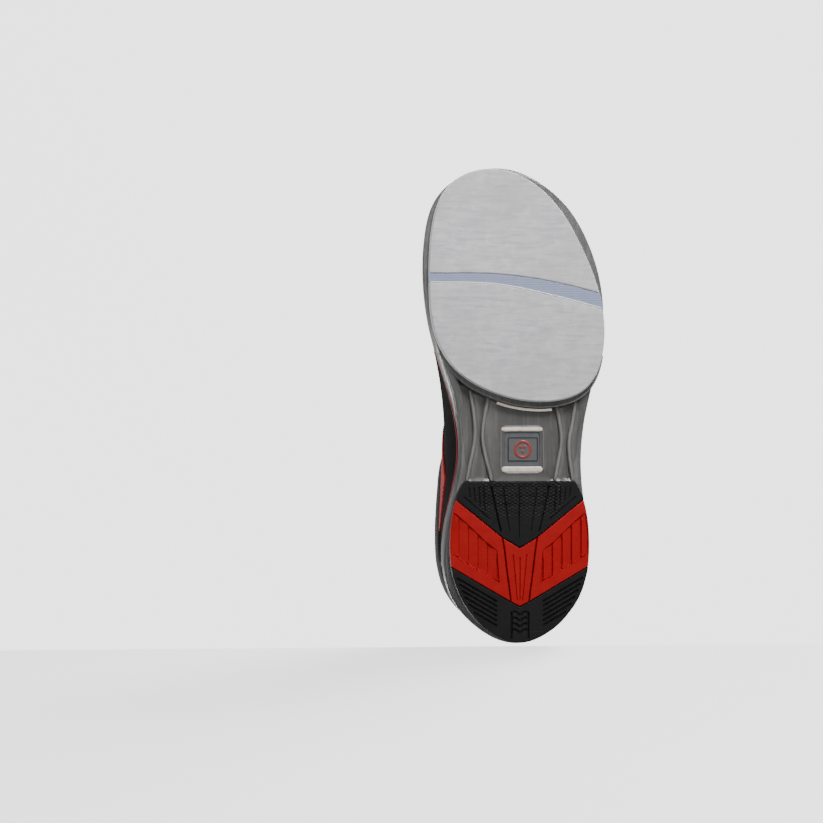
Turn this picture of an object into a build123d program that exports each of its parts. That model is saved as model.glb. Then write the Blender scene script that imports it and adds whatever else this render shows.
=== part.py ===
"""A left bowling shoe with a peel-off slide pad and a peel-off heel, in millimetres.

Frame: +Z up, the toe points to -Y, +X is the wearer's left, which is the outer (lateral) side.
The origin is on the ground under the middle of the shoe. The curves below are drawn from the point
CENTRE instead, and main() moves the finished parts over.
"""

from build123d import *
import math
import os

import numpy as np

# ---------------------------------------------------------------- driving dimensions
TOE_Y, HEEL_Y = -150.5, 152.5          # front and back of the upper, where the sole wall starts
WALL = 2.6                             # thickness of the clear sole wall outside the upper
SKIN, BACKING, LINING = 1.8, 5.0, 6.2  # depths under the upper's surface where each layer ends
BED_INSET = 6.6                        # edge of the insole board and the footbed
TONGUE_OUT, TONGUE_SKIN, TONGUE_IN = 11.5, 12.7, 16.0
GLUE = 0.2                             # room left for the glue between two layers
OVERLAY = 1.2                          # height of the panels sewn on top of the upper
PAD_THICK = 5.0                        # slide pad, ground to platform
PAD_FACE, PAD_HOOK = 1.6, 1.0          # its microfibre face and its hook layer
HEEL_THICK = 9.0                       # peel-off heel, ground to sole
HEEL_TREAD, HEEL_HOOK = 3.5, 1.0
LOOP = 0.8                             # loop fabric glued under the sole
CENTRE = (-2.1, 1.7)                    # middle of the whole shoe, in the coordinates of the curves below

FLEX_Y, FLEX_Z = -77.0, 11.0           # line where the forefoot bends
FLEX_SKEW = math.radians(7.4)          # the line runs further back on the outer side
FLEX_MAX = 25.0                        # degrees the toe lifts
FLEX_ROOM = 2.0                        # spare degrees in the cut that lets it lift
TOE_SPRING = 6.0                       # degrees the toe is raised at rest
SPLIT_GAP = 0.3                        # between pieces that turn on each other

TONGUE_Y = 24.0                        # line where the tongue's free end bends
EYELET_ROWS = 6
EYELET_FRONT, EYELET_BACK = -46.0, 12.0
EYELET_BORE, EYELET_WALL, EYELET_FLANGE = 2.4, 3.0, 4.0
EYELET_TO_EDGE = 6.0
LACE_RADIUS, LACE_OVER, LACE_UNDER = 1.1, 4.2, 8.9

MID_Y = (TOE_Y + HEEL_Y) / 2
HALF_Y = (HEEL_Y - TOE_Y) / 2
WIDTH_REF = 48.0                       # half width at which an inset is exact


# ---------------------------------------------------------------- curves along the shoe
class Along:
    """A natural cubic spline of (y, value) pairs, rounded off at the toe and at the heel."""

    def __init__(self, *pairs):
        t = np.array([turn(y) for y, _ in pairs])
        v = np.array([value for _, value in pairs], float)
        n, h = len(t), np.diff(t)
        m = np.eye(n)
        r = np.zeros(n)
        for i in range(1, n - 1):
            m[i, i - 1 : i + 2] = h[i - 1], 2 * (h[i - 1] + h[i]), h[i]
            r[i] = 6 * ((v[i + 1] - v[i]) / h[i] - (v[i] - v[i - 1]) / h[i - 1])
        self.t, self.v, self.h, self.m = t, v, h, np.linalg.solve(m, r)

    def __call__(self, y):
        t = turn(y)
        i = int(np.clip(np.searchsorted(self.t, t) - 1, 0, len(self.h) - 1))
        a, b, h = self.t[i + 1] - t, t - self.t[i], self.h[i]
        return (
            (self.m[i] * a**3 + self.m[i + 1] * b**3) / (6 * h)
            + (self.v[i] / h - self.m[i] * h / 6) * a
            + (self.v[i + 1] / h - self.m[i + 1] * h / 6) * b
        )


def turn(y):
    """Angle, 0 at the toe and pi at the heel, whose cosine gives y."""
    return math.acos(max(-1.0, min(1.0, (MID_Y - y) / HALF_Y)))


def rise(y):
    """Height that the toe spring adds at y."""
    d = max(0.0, FLEX_Y - y)
    return 0.12 * (math.hypot(d, 18.0) - 18.0)


OUTER = Along((-150.5, -13), (-147, 4), (-140, 16), (-128, 29), (-108, 41), (-80, 50.5), (-50, 54),
              (-20, 51), (10, 46), (40, 43.5), (70, 44), (100, 44.5), (125, 38), (142, 24), (152.5, 0))
INNER = Along((-150.5, -13), (-147, -30), (-140, -42), (-128, -51), (-108, -56), (-80, -57.5),
              (-50, -54.5), (-20, -48), (10, -43.5), (40, -42), (70, -43.5), (100, -44.5), (125, -38),
              (142, -24), (152.5, 0))
TOP = Along((-150.5, 27), (-147, 33), (-140, 39), (-128, 44.5), (-108, 49.5), (-80, 60), (-50, 73),
            (-20, 89), (10, 106), (25, 117), (40, 127), (70, 135), (100, 135), (125, 130), (142, 118),
            (150, 95), (152.5, 70))
RIDGE = Along((-150.5, -13), (-128, -11), (-80, -6), (-20, -3), (40, 0), (152.5, 0))
TUCK_OUT = Along((-150.5, 0.02), (-50, 0.01), (-5, 0.08), (30, 0.15), (55, 0.08), (85, 0.02), (152.5, 0.01))
TUCK_IN = Along((-150.5, 0.02), (-60, 0.01), (-20, 0.10), (28, 0.26), (55, 0.15), (85, 0.03), (152.5, 0.01))
SQUARE = Along((-150.5, 2.2), (-60, 2.1), (0, 2.3), (60, 2.7), (152.5, 2.6))
SOLE_UNDER = Along((-150.5, 3), (-20, 4.9), (25, 4.9), (60, 4.9), (152.5, 4.9))
SOLE_TOP = Along((-150.5, 11), (-20, 11), (25, 14), (60, 13), (152.5, 13))
FEATHER = Along((-150.5, 15), (-50, 15), (0, 17), (60, 22), (152.5, 24))
RIM = Along((-150.5, 30), (-125, 24), (-77, 21), (-20, 24), (25, 30), (70, 31), (120, 35), (152.5, 41))
DEEP = Along((-150.5, 7), (-20, 7), (25, 9), (60, 9), (152.5, 9))   # floor of a shape used as a cutter
TUCK_TOP, TUCK_LOW = 38.0, 8.0         # the wall leans in below TUCK_TOP, by its full share at TUCK_LOW
BASE = Along((-150.5, 16), (-125, 19), (-50, 20), (0, 24), (40, 33), (100, 36), (135, 34), (152.5, 30))


TOE_TURNS = [0.12, 0.22, 0.36]          # cross-sections are closer together at both ends
MIDDLE_TURNS = [0.55, 0.8, 1.05, 1.3, 1.55, 1.8, 2.05, 2.3]
HEEL_TURNS = [2.5, 2.68, 2.84, 2.96, 3.04]


def stations(inset):
    """(y of the upper's own section, y where it stands once inset) for each cross-section."""
    turns = TOE_TURNS + MIDDLE_TURNS + HEEL_TURNS
    return [(MID_Y - HALF_Y * math.cos(t), MID_Y - (HALF_Y - inset) * math.cos(t)) for t in turns]


def place_along():
    """Spline parameter of each point of a section: one set for all, so the lofts stay light."""
    side = [9.0, 13.0, 12.5, 12.0, 12.0, 12.0, 12.0, 13.0]
    steps = side + side[::-1]
    total = np.cumsum([0.0, *steps])
    return [float(v) for v in total / total[-1]]


SPACING = place_along()


def section(y, y_at, inset, bottom):
    """Closed cross-section of the foot shape, inset from the upper's surface, down to bottom(y)."""
    scale = 1 - inset / WIDTH_REF
    ridge, lift = RIDGE(y), rise(y)
    base, top, floor = BASE(y) + lift, TOP(y) + lift - inset, bottom(y) + lift
    power = SQUARE(y)

    def place(side, share, z):
        edge, tuck = (OUTER(y), TUCK_OUT(y)) if side > 0 else (INNER(y), TUCK_IN(y))
        lean = max(0.0, (TUCK_TOP + lift - z) / (TUCK_TOP - TUCK_LOW)) ** 1.5
        return Vector(ridge + (edge - ridge) * scale * share * (1 - tuck * lean), y_at, z)

    arch = []
    for side, angles in ((1, np.linspace(0, 90, 8)), (-1, np.linspace(90, 0, 8)[1:])):
        for a in np.radians(angles):
            share, up = max(0.0, math.cos(a)) ** (2 / power), math.sin(a) ** (2 / power)
            arch.append(place(side, share, base + (top - base) * up))
    points = [place(1, 1, floor), *arch, place(-1, 1, floor)]
    return Wire([Edge.make_spline(points, parameters=SPACING), Edge.make_line(points[-1], points[0])])


def foot_shape(inset, bottom=SOLE_TOP):
    """Solid of the foot shape, inset (or with a minus sign, enlarged) from the upper's surface."""
    return Solid.make_loft([section(y, y_at, inset, bottom) for y, y_at in stations(inset)])


def shell(outside, inside):
    """Layer of the upper between two insets, open at the sole."""
    return foot_shape(outside) - foot_shape(inside, DEEP)


# ---------------------------------------------------------------- cutters
REACH = 200.0
FULL = (-REACH, REACH)
SIDE = {"lateral": (0.0, REACH), "medial": (-REACH, 0.0)}


def side_prism(points, across=FULL, curved=False):
    """Prism over an outline drawn in the side view as (y, z) points."""
    corners = [Vector(across[0], y, z) for y, z in points]
    edge = Wire([Spline(*corners), Line(corners[-1], corners[0])]) if curved else Wire.make_polygon(corners)
    return Solid.extrude(Face(edge), Vector(across[1] - across[0], 0, 0))


def plan_prism(outline, low, high):
    """Prism over a closed face or wire drawn on the ground."""
    face = outline if isinstance(outline, Face) else Face(outline)
    return Pos(0, 0, low) * Solid.extrude(face, Vector(0, 0, high - low))


def smooth_outline(points):
    """Face inside a closed smooth line through (x, y) points."""
    return Face(Wire([Spline(*[Vector(x, y, 0) for x, y in points], periodic=True)]))


def corner_outline(points):
    return Face(Wire.make_polygon([Vector(x, y, 0) for x, y in points]))


def under(height, lift=0.0, low=-20.0):
    """Everything below the line height(y) + lift, toe spring included."""
    ys = np.linspace(-175, 175, 29)
    line = [Vector(-REACH, y, height(float(np.clip(y, TOE_Y, HEEL_Y))) + rise(y) + lift) for y in ys]
    ends = [Vector(-REACH, ys[-1], low), Vector(-REACH, ys[0], low)]
    edge = Wire([Spline(*line), Line(line[-1], ends[0]), Line(*ends), Line(ends[1], line[0])])
    return Solid.extrude(Face(edge), Vector(2 * REACH, 0, 0))


def skewed(solid):
    """Turns a cutter drawn about the x axis onto the slanting flex line."""
    return Pos(0, FLEX_Y, 0) * Rot(0, 0, math.degrees(FLEX_SKEW)) * Pos(0, -FLEX_Y, 0) * solid


def flex_cutters():
    """(toe side, wedge that closes as the toe lifts, rear side)."""
    front, tall = FLEX_Y - SPLIT_GAP / 2, 160.0
    lean = (tall - FLEX_Z) * math.tan(math.radians(FLEX_MAX + FLEX_ROOM))
    far = front - lean
    toe = [(front, -20), (front, FLEX_Z), (far, tall), (-260, tall), (-260, -20)]
    back = FLEX_Y + SPLIT_GAP / 2
    wedge = [(front, FLEX_Z), (back, FLEX_Z), (back, tall), (far, tall)]
    rear = [(back, -20), (back, tall), (260, tall), (260, -20)]
    return [skewed(side_prism(p)) for p in (toe, wedge, rear)]


TOE_SIDE, FLEX_WEDGE, REAR_SIDE = flex_cutters()


def raised(solid):
    """Tips a toe piece that was drawn flat up by the toe spring, about the flex line."""
    return skewed(
        Pos(0, FLEX_Y, PAD_THICK) * Rot(-TOE_SPRING, 0, 0) * Pos(0, -FLEX_Y, -PAD_THICK) * unskewed(solid)
    )


def unskewed(solid):
    return Pos(0, FLEX_Y, 0) * Rot(0, 0, -math.degrees(FLEX_SKEW)) * Pos(0, -FLEX_Y, 0) * solid


# ---------------------------------------------------------------- outlines seen from below
PAD_OUTLINE = [(-19, -152.5), (-44.7, -141), (-55.5, -116), (-58, -79), (-53.5, -43), (-39.6, -21),
               (-19, -8.3), (16, -1.3), (44.7, -10.2), (55.5, -34.5), (53.6, -69.5), (41.5, -102.7),
               (23, -132.7), (0, -149.3)]
HEEL_X = 1.0                            # the heel's own centre line
HEEL_FRONT, HEEL_BACK = 49.8, 154.2
HEEL_HALF = [(36, 49.8), (39.5, 56), (43, 66), (45.3, 82), (45.5, 95), (44.6, 106), (39.5, 122.5),
             (28, 139.8), (14.4, 150)]
# Lines that split the heel's tread, as (distance from the centre line, y).
TREAD_FRONT_LINE = [(0, 92.6), (11, 86.1), (60, 46.5)]
TREAD_REAR_LINE = [(0, 130.7), (6.8, 127.2), (60, 96)]
TREAD_GROOVE = [(19.4, 44.0), (13.2, 77.5), (11, 88), (5.9, 128), (6, 160)]
FLEX_BAND_FRONT = [(x, FLEX_Y + x * math.tan(FLEX_SKEW)) for x in (-70, 66)]
BAND_WIDTH = 6.5


def inset_outline(points, inset):
    """Points of a closed clockwise outline, each moved inwards square to its neighbours' line."""
    moved = []
    for (x0, y0), (x, y), (x1, y1) in zip(points[-1:] + points[:-1], points, points[1:] + points[:1]):
        length = math.hypot(x1 - x0, y1 - y0)
        moved.append((x + inset * (y1 - y0) / length, y - inset * (x1 - x0) / length))
    return moved


def pad_face(inset=0.0):
    return smooth_outline(inset_outline(PAD_OUTLINE, inset))


def heel_face(inset=0.0):
    """Outline of the heel: a straight front edge, and one smooth line round the back."""
    ring = [(-x, y) for x, y in HEEL_HALF] + [(0, HEEL_BACK)] + HEEL_HALF[::-1]
    ring = inset_outline(ring, inset)
    corner = HEEL_HALF[0][0] - inset
    ring = [(-corner, HEEL_FRONT + inset)] + ring[1:-1] + [(corner, HEEL_FRONT + inset)]
    around = [Vector(HEEL_X + x, y, 0) for x, y in ring]
    return Face(Wire([Spline(*around), Line(around[-1], around[0])]))


def strip_across(line, width_back, far):
    """Face from a line that runs across the shoe, back by a width (or to far, if width_back is None)."""
    front = [(x, y) for x, y in line]
    back = [(x, far if width_back is None else y + width_back) for x, y in reversed(line)]
    return corner_outline(front + back)


def mirrored_line(half):
    """A line given on one side of the heel's centre, carried across to the other."""
    return [(HEEL_X - x, y) for x, y in reversed(half)] + [(HEEL_X + x, y) for x, y in half[1:]]


# ---------------------------------------------------------------- sub-parts
def make_slide_pad():
    """Peel-off slide pad: white microfibre face in two areas with a flex band, on foam and a hook layer."""
    hooks = plan_prism(pad_face(2.5), PAD_THICK - PAD_HOOK, PAD_THICK)
    skin = plan_prism(pad_face(), 0, PAD_FACE)
    ball_line = [(x, y + BAND_WIDTH) for x, y in FLEX_BAND_FRONT]
    ball_area = plan_prism(strip_across(ball_line, None, 40), -1, PAD_FACE)
    band_area = plan_prism(strip_across(FLEX_BAND_FRONT, BAND_WIDTH, 0), PAD_FACE / 2, PAD_FACE)
    backing = plan_prism(pad_face(), PAD_FACE, PAD_THICK - PAD_HOOK)
    return {
        "pad_face": skin & ball_area & REAR_SIDE,
        "pad_flex_band": skin & band_area & REAR_SIDE,
        "pad_backing": backing & REAR_SIDE,
        "pad_hook_layer": hooks & REAR_SIDE,
        "pad_toe_face": raised(skin & TOE_SIDE),
        "pad_toe_backing": raised(backing & TOE_SIDE),
        "pad_toe_hook_layer": raised(hooks & TOE_SIDE),
    }


def make_heel():
    """Peel-off heel: a black base with its hook layer, and a tread in black and red lugs."""
    tread = plan_prism(heel_face(), 0, HEEL_TREAD)
    base = plan_prism(heel_face(), HEEL_TREAD, HEEL_THICK - HEEL_HOOK)
    front = plan_prism(strip_across(mirrored_line(TREAD_FRONT_LINE), None, 20), -1, HEEL_TREAD)
    rear = plan_prism(strip_across(mirrored_line(TREAD_REAR_LINE), None, 200), -1, HEEL_TREAD)
    groove_left = [(HEEL_X - x, y) for x, y in TREAD_GROOVE]
    groove_right = [(HEEL_X + x, y) for x, y in TREAD_GROOVE]
    middle = plan_prism(corner_outline(groove_left + groove_right[::-1]), -1, HEEL_TREAD)
    half_gap = 0.4
    wide = plan_prism(
        corner_outline([(x - half_gap, y) for x, y in groove_left]
                       + [(x + half_gap, y) for x, y in groove_right[::-1]]), -1, HEEL_TREAD)
    band = tread - front - rear
    lateral = Pos(HEEL_X + REACH / 2, 100, 0) * Box(REACH, REACH, 40)
    cuts = Part() + [rib_cut(side, k) for side in (-1, 1) for k in range(5)]
    return {
        "heel_hook_layer": plan_prism(heel_face(2.5), HEEL_THICK - HEEL_HOOK, HEEL_THICK),
        "heel_base": base,
        "heel_tread_front": tread & front,
        "heel_tread_rear": (tread & rear) - cuts,
        "heel_tread_red_center": band & middle,
        "heel_tread_red_lateral": (band - wide) & lateral,
        "heel_tread_red_medial": (band - wide) - lateral,
    }


def rib_cut(side, k):
    """One slanting slot in the black back of the heel's tread."""
    start = 111.0 + 6.0 * k
    slope = math.degrees(math.atan2(31.2, 53.2))
    return (Pos(HEEL_X + side * 30, start + 7, 0.5) * Rot(0, 0, -side * slope)
            * Box(30 - 3 * k, 1.8, 1.6))


SHANK_FRONT, SHANK_BACK, SHANK_UNDER = 2.5, 50.0, 10.0
SHANK_RIBS = ((-21, 4), (-31, -5), (26, -4), (37, 4))
LIP = 3.7                               # clear edge left behind the slide pad


def shank_rib(x, bow):
    """A stiffening rib under the shank that bows sideways at its middle."""
    middle = (SHANK_FRONT + SHANK_BACK) / 2
    front, back = -40, SHANK_BACK + 20
    inside = ThreePointArc((x - 1.2, front), (x - 1.2 + bow, middle), (x - 1.2, back))
    outside = ThreePointArc((x + 1.2, back), (x + 1.2 + bow, middle), (x + 1.2, front))
    ends = [Line(inside @ 1, outside @ 0), Line(outside @ 1, inside @ 0)]
    return plan_prism(Wire([inside, ends[0], outside, ends[1]]), SHANK_UNDER - 2.5, SHANK_UNDER + 1)


def carve(solid, *tools):
    for tool in tools:
        solid = solid - tool
    return solid


def split_at_flex(solid):
    """(toe part, wedge part, rear part) of a piece that runs across the flex line."""
    return solid & TOE_SIDE, solid & FLEX_WEDGE, solid & REAR_SIDE


def make_outsole():
    """Clear sole: platform under the forefoot, ribbed shank, cup under the heel and a wall all round."""
    cup = (foot_shape(-WALL, SOLE_UNDER) & under(RIM)) - foot_shape(0.0)
    lip = Pos(0, LIP, 0) * pad_face()
    behind_lip = corner_outline([(-90, -30), (90, -30), (90, SHANK_BACK), (-90, SHANK_BACK)]) - lip
    shank_room = plan_prism(behind_lip.faces().sort_by(Axis.Y)[-1], -5, SHANK_UNDER)
    shank_room = carve(shank_room, *[shank_rib(x, bow) for x, bow in SHANK_RIBS])
    heel_room = plan_prism(corner_outline([(-90, 49), (90, 49), (90, 170), (-90, 170)]), -5, HEEL_THICK)
    below = plan_prism(corner_outline([(-90, -170), (90, -170), (90, 60), (-90, 60)]), -30, PAD_THICK)
    recess = plan_prism(pad_face(3.0), PAD_THICK - 1, PAD_THICK + LOOP)
    heel_recess = plan_prism(heel_face(3.0), HEEL_THICK - 1, HEEL_THICK + LOOP)
    toe, wedge, rear = split_at_flex(cup)
    loops = plan_prism(pad_face(3.1), PAD_THICK, PAD_THICK + LOOP)
    return {
        "outsole": carve(rear, below, shank_room, heel_room, recess, heel_recess),
        "toe_outsole": carve(toe, raised(below), raised(recess)),
        "outsole_flex_zone": wedge,
        "forefoot_loop_panel": loops & REAR_SIDE,
        "toe_loop_panel": raised(loops & TOE_SIDE),
        "heel_loop_panel": plan_prism(heel_face(3.1), HEEL_THICK, HEEL_THICK + LOOP),
    }


BADGE_SIZE, BADGE_MID = (28.0, 29.0), (3.7, 29.6)


def make_shank():
    """Stiff plate inside the waist, and the framed badge under it."""
    frame = Pos(*BADGE_MID, 0) * (RectangleRounded(*BADGE_SIZE, 3) - RectangleRounded(23, 22, 2))
    field = Pos(*BADGE_MID, 0) * RectangleRounded(22.6, 21.6, 1.8)
    ring = Pos(*BADGE_MID, 0) * (Circle(7.5) - Circle(5.5))
    plate = Pos(2.5, 26, 15.6) * Box(40, 60, 1.6)
    return {
        "badge_frame": plan_prism(frame.face(), SHANK_UNDER - 1.4, SHANK_UNDER),
        "badge_inlay": Compound([plan_prism(field.face(), SHANK_UNDER - 0.6, SHANK_UNDER),
                                 plan_prism(ring.face(), SHANK_UNDER - 1.1, SHANK_UNDER - 0.6)]),
        "shank_plate": plate,
    }


def glued_floor(y):
    """Underside of the midsole, a layer of glue above the clear sole."""
    return SOLE_TOP(y) + GLUE


def make_insides(plate):
    """Foam midsole, board and footbed, each split at the flex line."""
    room = foot_shape(BED_INSET)
    midsole = (foot_shape(GLUE, glued_floor) & under(FEATHER, -GLUE)) - plate
    board = (room & under(FEATHER, 1.8)) - under(FEATHER)
    bed = (room & under(FEATHER, 6.0)) - under(FEATHER, 1.8 + GLUE)
    nodes, wedges = {}, []
    for name, solid in (("midsole", midsole), ("insole_board", board), ("footbed", bed)):
        toe, wedge, rear = split_at_flex(solid)
        nodes[name], nodes[f"toe_{name}"] = rear, toe
        wedges += wedge.solids()
    return {**nodes, "insole_flex_zone": Compound(wedges)}


# ---------------------------------------------------------------- the upper
TOPLINE = [(13, 175), (15.5, 130), (18, 113), (28, 100), (48, 86), (78, 70), (104, 69), (126, 79),
           (141, 94), (150, 101), (165, 104)]
THROAT = [(-4, -60), (8, -52), (12, -36), (16, -10), (20, 14), (22, 34), (22, 60), (-28, 60), (-28, 34),
          (-25, 14), (-22, -10), (-19, -36), (-14, -52)]
EYESTAY = [(-4, -74), (14, -68), (24, -46), (30, -10), (33, 22), (30, 30), (-34, 30), (-37, 22),
           (-35, -10), (-31, -46), (-20, -68)]
TONGUE_ROWS = ([(-70, -14, 8), (-58, -20, 13), (-40, -24, 17), (-20, -26, 20), (0, -27, 22),
                (14, -26, 21), (TONGUE_Y - SPLIT_GAP / 2, -24, 18)],
               [(TONGUE_Y + SPLIT_GAP / 2, -24, 18), (32, -23, 17), (39, -21, 15), (44, -17, 11),
                (47, -12, 6)])
VAMP_END = [(-200, -20), (-48, -20), (-34, 60), (-24, 175), (-200, 175)]
ACCENT_SHAPE = [(48, 38), (88, 72), (96, 110), (2, 110), (10, 76)]
HEEL_CUP = [(112, 10), (118, 60), (133, 84), (142, 110), (190, 110), (190, 10)]
TOE_CAP = [(-112, -20), (-118, 40), (-126, 70), (-200, 70), (-200, -20)]
COUNTER = [(84, -20), (92, 50), (112, 66), (200, 74), (200, -20)]
COLLAR = [(14, 84), (40, 70), (78, 50), (104, 50), (130, 62), (200, 74.5), (200, 180), (14, 180)]


def opening_cutters():
    collar = [Vector(-REACH, y, z) for y, z in TOPLINE]
    corners = [Vector(-REACH, 190, 104), Vector(-REACH, 190, 175)]
    edge = Wire([Spline(*collar), Line(collar[-1], corners[0]), Line(*corners), Line(corners[1], collar[0])])
    mouth = Solid.extrude(Face(edge), Vector(2 * REACH, 0, 0))
    return mouth, plan_prism(corner_outline(THROAT), 40, 200)


MOUTH, THROAT_CUT = opening_cutters()


def skin_height(x, y, inset):
    """Height of the foot shape's surface over (x, y)."""
    param = MID_Y + (y - MID_Y) * HALF_Y / (HALF_Y - inset)
    edge = OUTER(param) if x > RIDGE(param) else INNER(param)
    half = abs(edge - RIDGE(param)) * (1 - inset / WIDTH_REF)
    share, power = min(1.0, abs(x - RIDGE(param)) / half), SQUARE(param)
    base = BASE(param)
    return rise(param) + base + (TOP(param) - inset - base) * (1 - share**power) ** (1 / power)


def skin_point(x, y, inset=0.0):
    """Point of the foot shape's surface over (x, y), and the surface's outward normal there."""
    slope_x = skin_height(x + 0.5, y, inset) - skin_height(x - 0.5, y, inset)
    slope_y = skin_height(x, y + 0.5, inset) - skin_height(x, y - 0.5, inset)
    return Vector(x, y, skin_height(x, y, inset)), Vector(-slope_x, -slope_y, 1).normalized()


def eyelet_places():
    """(row, side) to the point and normal of each eyelet, and of the throat's edge beside it."""
    eyelets, edges = {}, {}
    for row in range(EYELET_ROWS):
        y = EYELET_FRONT + (EYELET_BACK - EYELET_FRONT) * row / (EYELET_ROWS - 1)
        for side, throat, spread in ((1, 11.5, 0.14), (-1, -18.0, -0.125)):
            edge = throat + (y + 50) * spread
            eyelets[row, side] = skin_point(edge + side * EYELET_TO_EDGE, y)
            edges[row, side] = skin_point(edge, y)
    return eyelets, edges


def rod(point, normal, low, high, radius):
    """Cylinder along a normal, from height low to height high over the point."""
    length = high - low
    return Plane(point + normal * low, z_dir=normal) * Pos(0, 0, length / 2) * Cylinder(radius, length)


def make_laces():
    """Metal eyelets, and the lace that runs through them from the front row to the back row."""
    places, edges = eyelet_places()
    eyelets = []
    for point, normal in places.values():
        barrel = rod(point, normal, -LINING - 0.6, OVERLAY + 0.6, EYELET_WALL)
        flange = rod(point, normal, OVERLAY + 0.4, OVERLAY + 1.0, EYELET_FLANGE)
        eyelets.append((barrel + flange) - rod(point, normal, -20, 20, EYELET_BORE))
    route, side = [], 1
    for row in range(EYELET_ROWS):
        (start, up), (near, over) = places[row, side], edges[row, side]
        (end, down), (far, under_far) = places[row, -side], edges[row, -side]
        route += [start - up * LACE_UNDER, start + up * LACE_OVER, near + over * LACE_OVER]
        route += [far + under_far * LACE_OVER, end + down * LACE_OVER, end - down * LACE_UNDER]
        side = -side
    path = FilletPolyline(*route, radius=1.9)
    section_plane = Plane(route[0], z_dir=(route[1] - route[0]))
    lace = sweep(section_plane * Circle(LACE_RADIUS), path=path)
    print("lace length", round(path.length), "tube volume ratio",
          round(lace.volume / (path.length * math.pi * LACE_RADIUS**2), 4))
    return {"eyelets": Compound(eyelets), "lace": lace}


def make_upper():
    """Skin panels, padded layer, lining and the panels sewn on top."""
    skin = carve(shell(GLUE, SKIN), under(FEATHER), MOUTH, THROAT_CUT)
    padding = carve(shell(SKIN + GLUE, BACKING), under(FEATHER), MOUTH, THROAT_CUT)
    lining = carve(shell(BACKING + GLUE, LINING), under(FEATHER), MOUTH, THROAT_CUT)
    raised_skin = carve(shell(-OVERLAY, 0.0), under(RIM, 2.0), MOUTH, THROAT_CUT)
    holes = [rod(p, n, -15, 15, EYELET_WALL + 0.1) for p, n in eyelet_places()[0].values()]

    toe_skin, wedge_skin, rear_skin = split_at_flex(skin)
    toe_pad, wedge_pad, rear_pad = split_at_flex(padding)
    toe_lining, wedge_lining, rear_lining = split_at_flex(lining)
    nodes = {
        "toe_vamp": toe_skin,
        "vamp_flex_zone": wedge_skin,
        "vamp": carve(rear_skin & side_prism(VAMP_END), *holes),
        "toe_vamp_padding": toe_pad,
        "vamp_padding_flex_zone": wedge_pad,
        "heel_counter": rear_pad & side_prism(COUNTER),
        "collar_padding": carve(rear_pad & side_prism(COLLAR), side_prism(COUNTER), *holes),
        "quarter_padding": carve(rear_pad, side_prism(COLLAR), side_prism(COUNTER), *holes),
        "toe_lining": toe_lining,
        "lining_flex_zone": wedge_lining,
        "lining": carve(rear_lining, *holes),
        "toe_cap": raised_skin & TOE_SIDE & side_prism(TOE_CAP),
        "heel_cup": raised_skin & side_prism(HEEL_CUP),
    }
    quarters = rear_skin - side_prism(VAMP_END)
    eyestay = raised_skin & REAR_SIDE & plan_prism(corner_outline(EYESTAY), 30, 200)
    for side, across in SIDE.items():
        half = plan_prism(corner_outline([(across[0] - 4, -200), (across[1] - 4, -200),
                                          (across[1] - 4, 200), (across[0] - 4, 200)]), -20, 200)
        accent = side_prism(ACCENT_SHAPE, across)
        nodes[f"{side}_quarter"] = carve(quarters & half, accent, *holes)
        nodes[f"{side}_accent"] = carve(quarters & half & accent, *holes)
        nodes[f"{side}_eyestay"] = carve(eyestay & half, *holes)
    return nodes


def make_piping():
    """Red cord-like strip along the top of the clear wall."""
    band = (shell(-2.0, 0.0) & under(RIM, 1.9)) - under(RIM, GLUE)
    toe, wedge, rear = split_at_flex(band)
    return {"sole_piping": rear, "toe_piping": toe, "piping_flex_zone": wedge}


def tongue_layer(outside, inside, rows):
    """Layer of the tongue between two insets; rows are (y, left edge, right edge)."""
    wires = []
    for y, left, right in rows:
        xs = [left + (right - left) * k / 6 for k in range(7)]
        top = [Vector(x, y, skin_height(x, y, outside)) for x in xs]
        low = [Vector(x, y, skin_height(x, y, inside)) for x in reversed(xs)]
        ends = [Edge.make_line(top[-1], low[0]), Edge.make_line(low[-1], top[0])]
        wires.append(Wire([Edge.make_spline(top), ends[0], Edge.make_spline(low), ends[1]]))
    return Solid.make_loft(wires)


def make_tongue():
    """Padded tongue, sewn in at the front, with a free end above the last lace."""
    front, back = TONGUE_ROWS
    return {
        "tongue_cover": tongue_layer(TONGUE_OUT, TONGUE_SKIN, front),
        "tongue_padding": tongue_layer(TONGUE_SKIN + GLUE, TONGUE_IN, front),
        "tongue_top_cover": tongue_layer(TONGUE_OUT, TONGUE_SKIN, back),
        "tongue_top_padding": tongue_layer(TONGUE_SKIN + GLUE, TONGUE_IN, back),
    }


def make_pull_tab():
    """Webbing loop stitched over the back of the collar."""
    underside = [(154.4, 80), (153.4, 100), (151, 104.5), (146, 106), (141.6, 104), (140.4, 90)]
    outside = [(139, 90), (140.2, 105), (145.5, 107.6), (151.8, 106), (155, 101), (156, 80)]
    corners = [Vector(-7, y, z) for y, z in underside + outside]
    return {"heel_pull_tab": Solid.extrude(Face(Wire.make_polygon(corners)), Vector(14, 0, 0))}


def main():
    shank = make_shank()
    nodes = {**make_slide_pad(), **make_heel(), **make_outsole(), **shank,
             **make_insides(shank["shank_plate"]), **make_upper(), **make_laces(), **make_piping(),
             **make_tongue(), **make_pull_tab()}
    os.makedirs("parts", exist_ok=True)
    for name, shape in nodes.items():
        export_step(Pos(-CENTRE[0], -CENTRE[1], 0) * shape, f"parts/{name}.step")


if __name__ == "__main__":
    main()
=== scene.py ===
"""A left bowling shoe, sole towards the camera. Lengths in this script are millimetres from the heel's
own centre line (+Z up, toe to -Y, +X the outer side), and become metres in the part's frame as each
mesh is made."""
import math

import bmesh
import bpy
import numpy as np
from mathutils import Matrix, Vector
from mathutils.geometry import delaunay_2d_cdt


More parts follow.
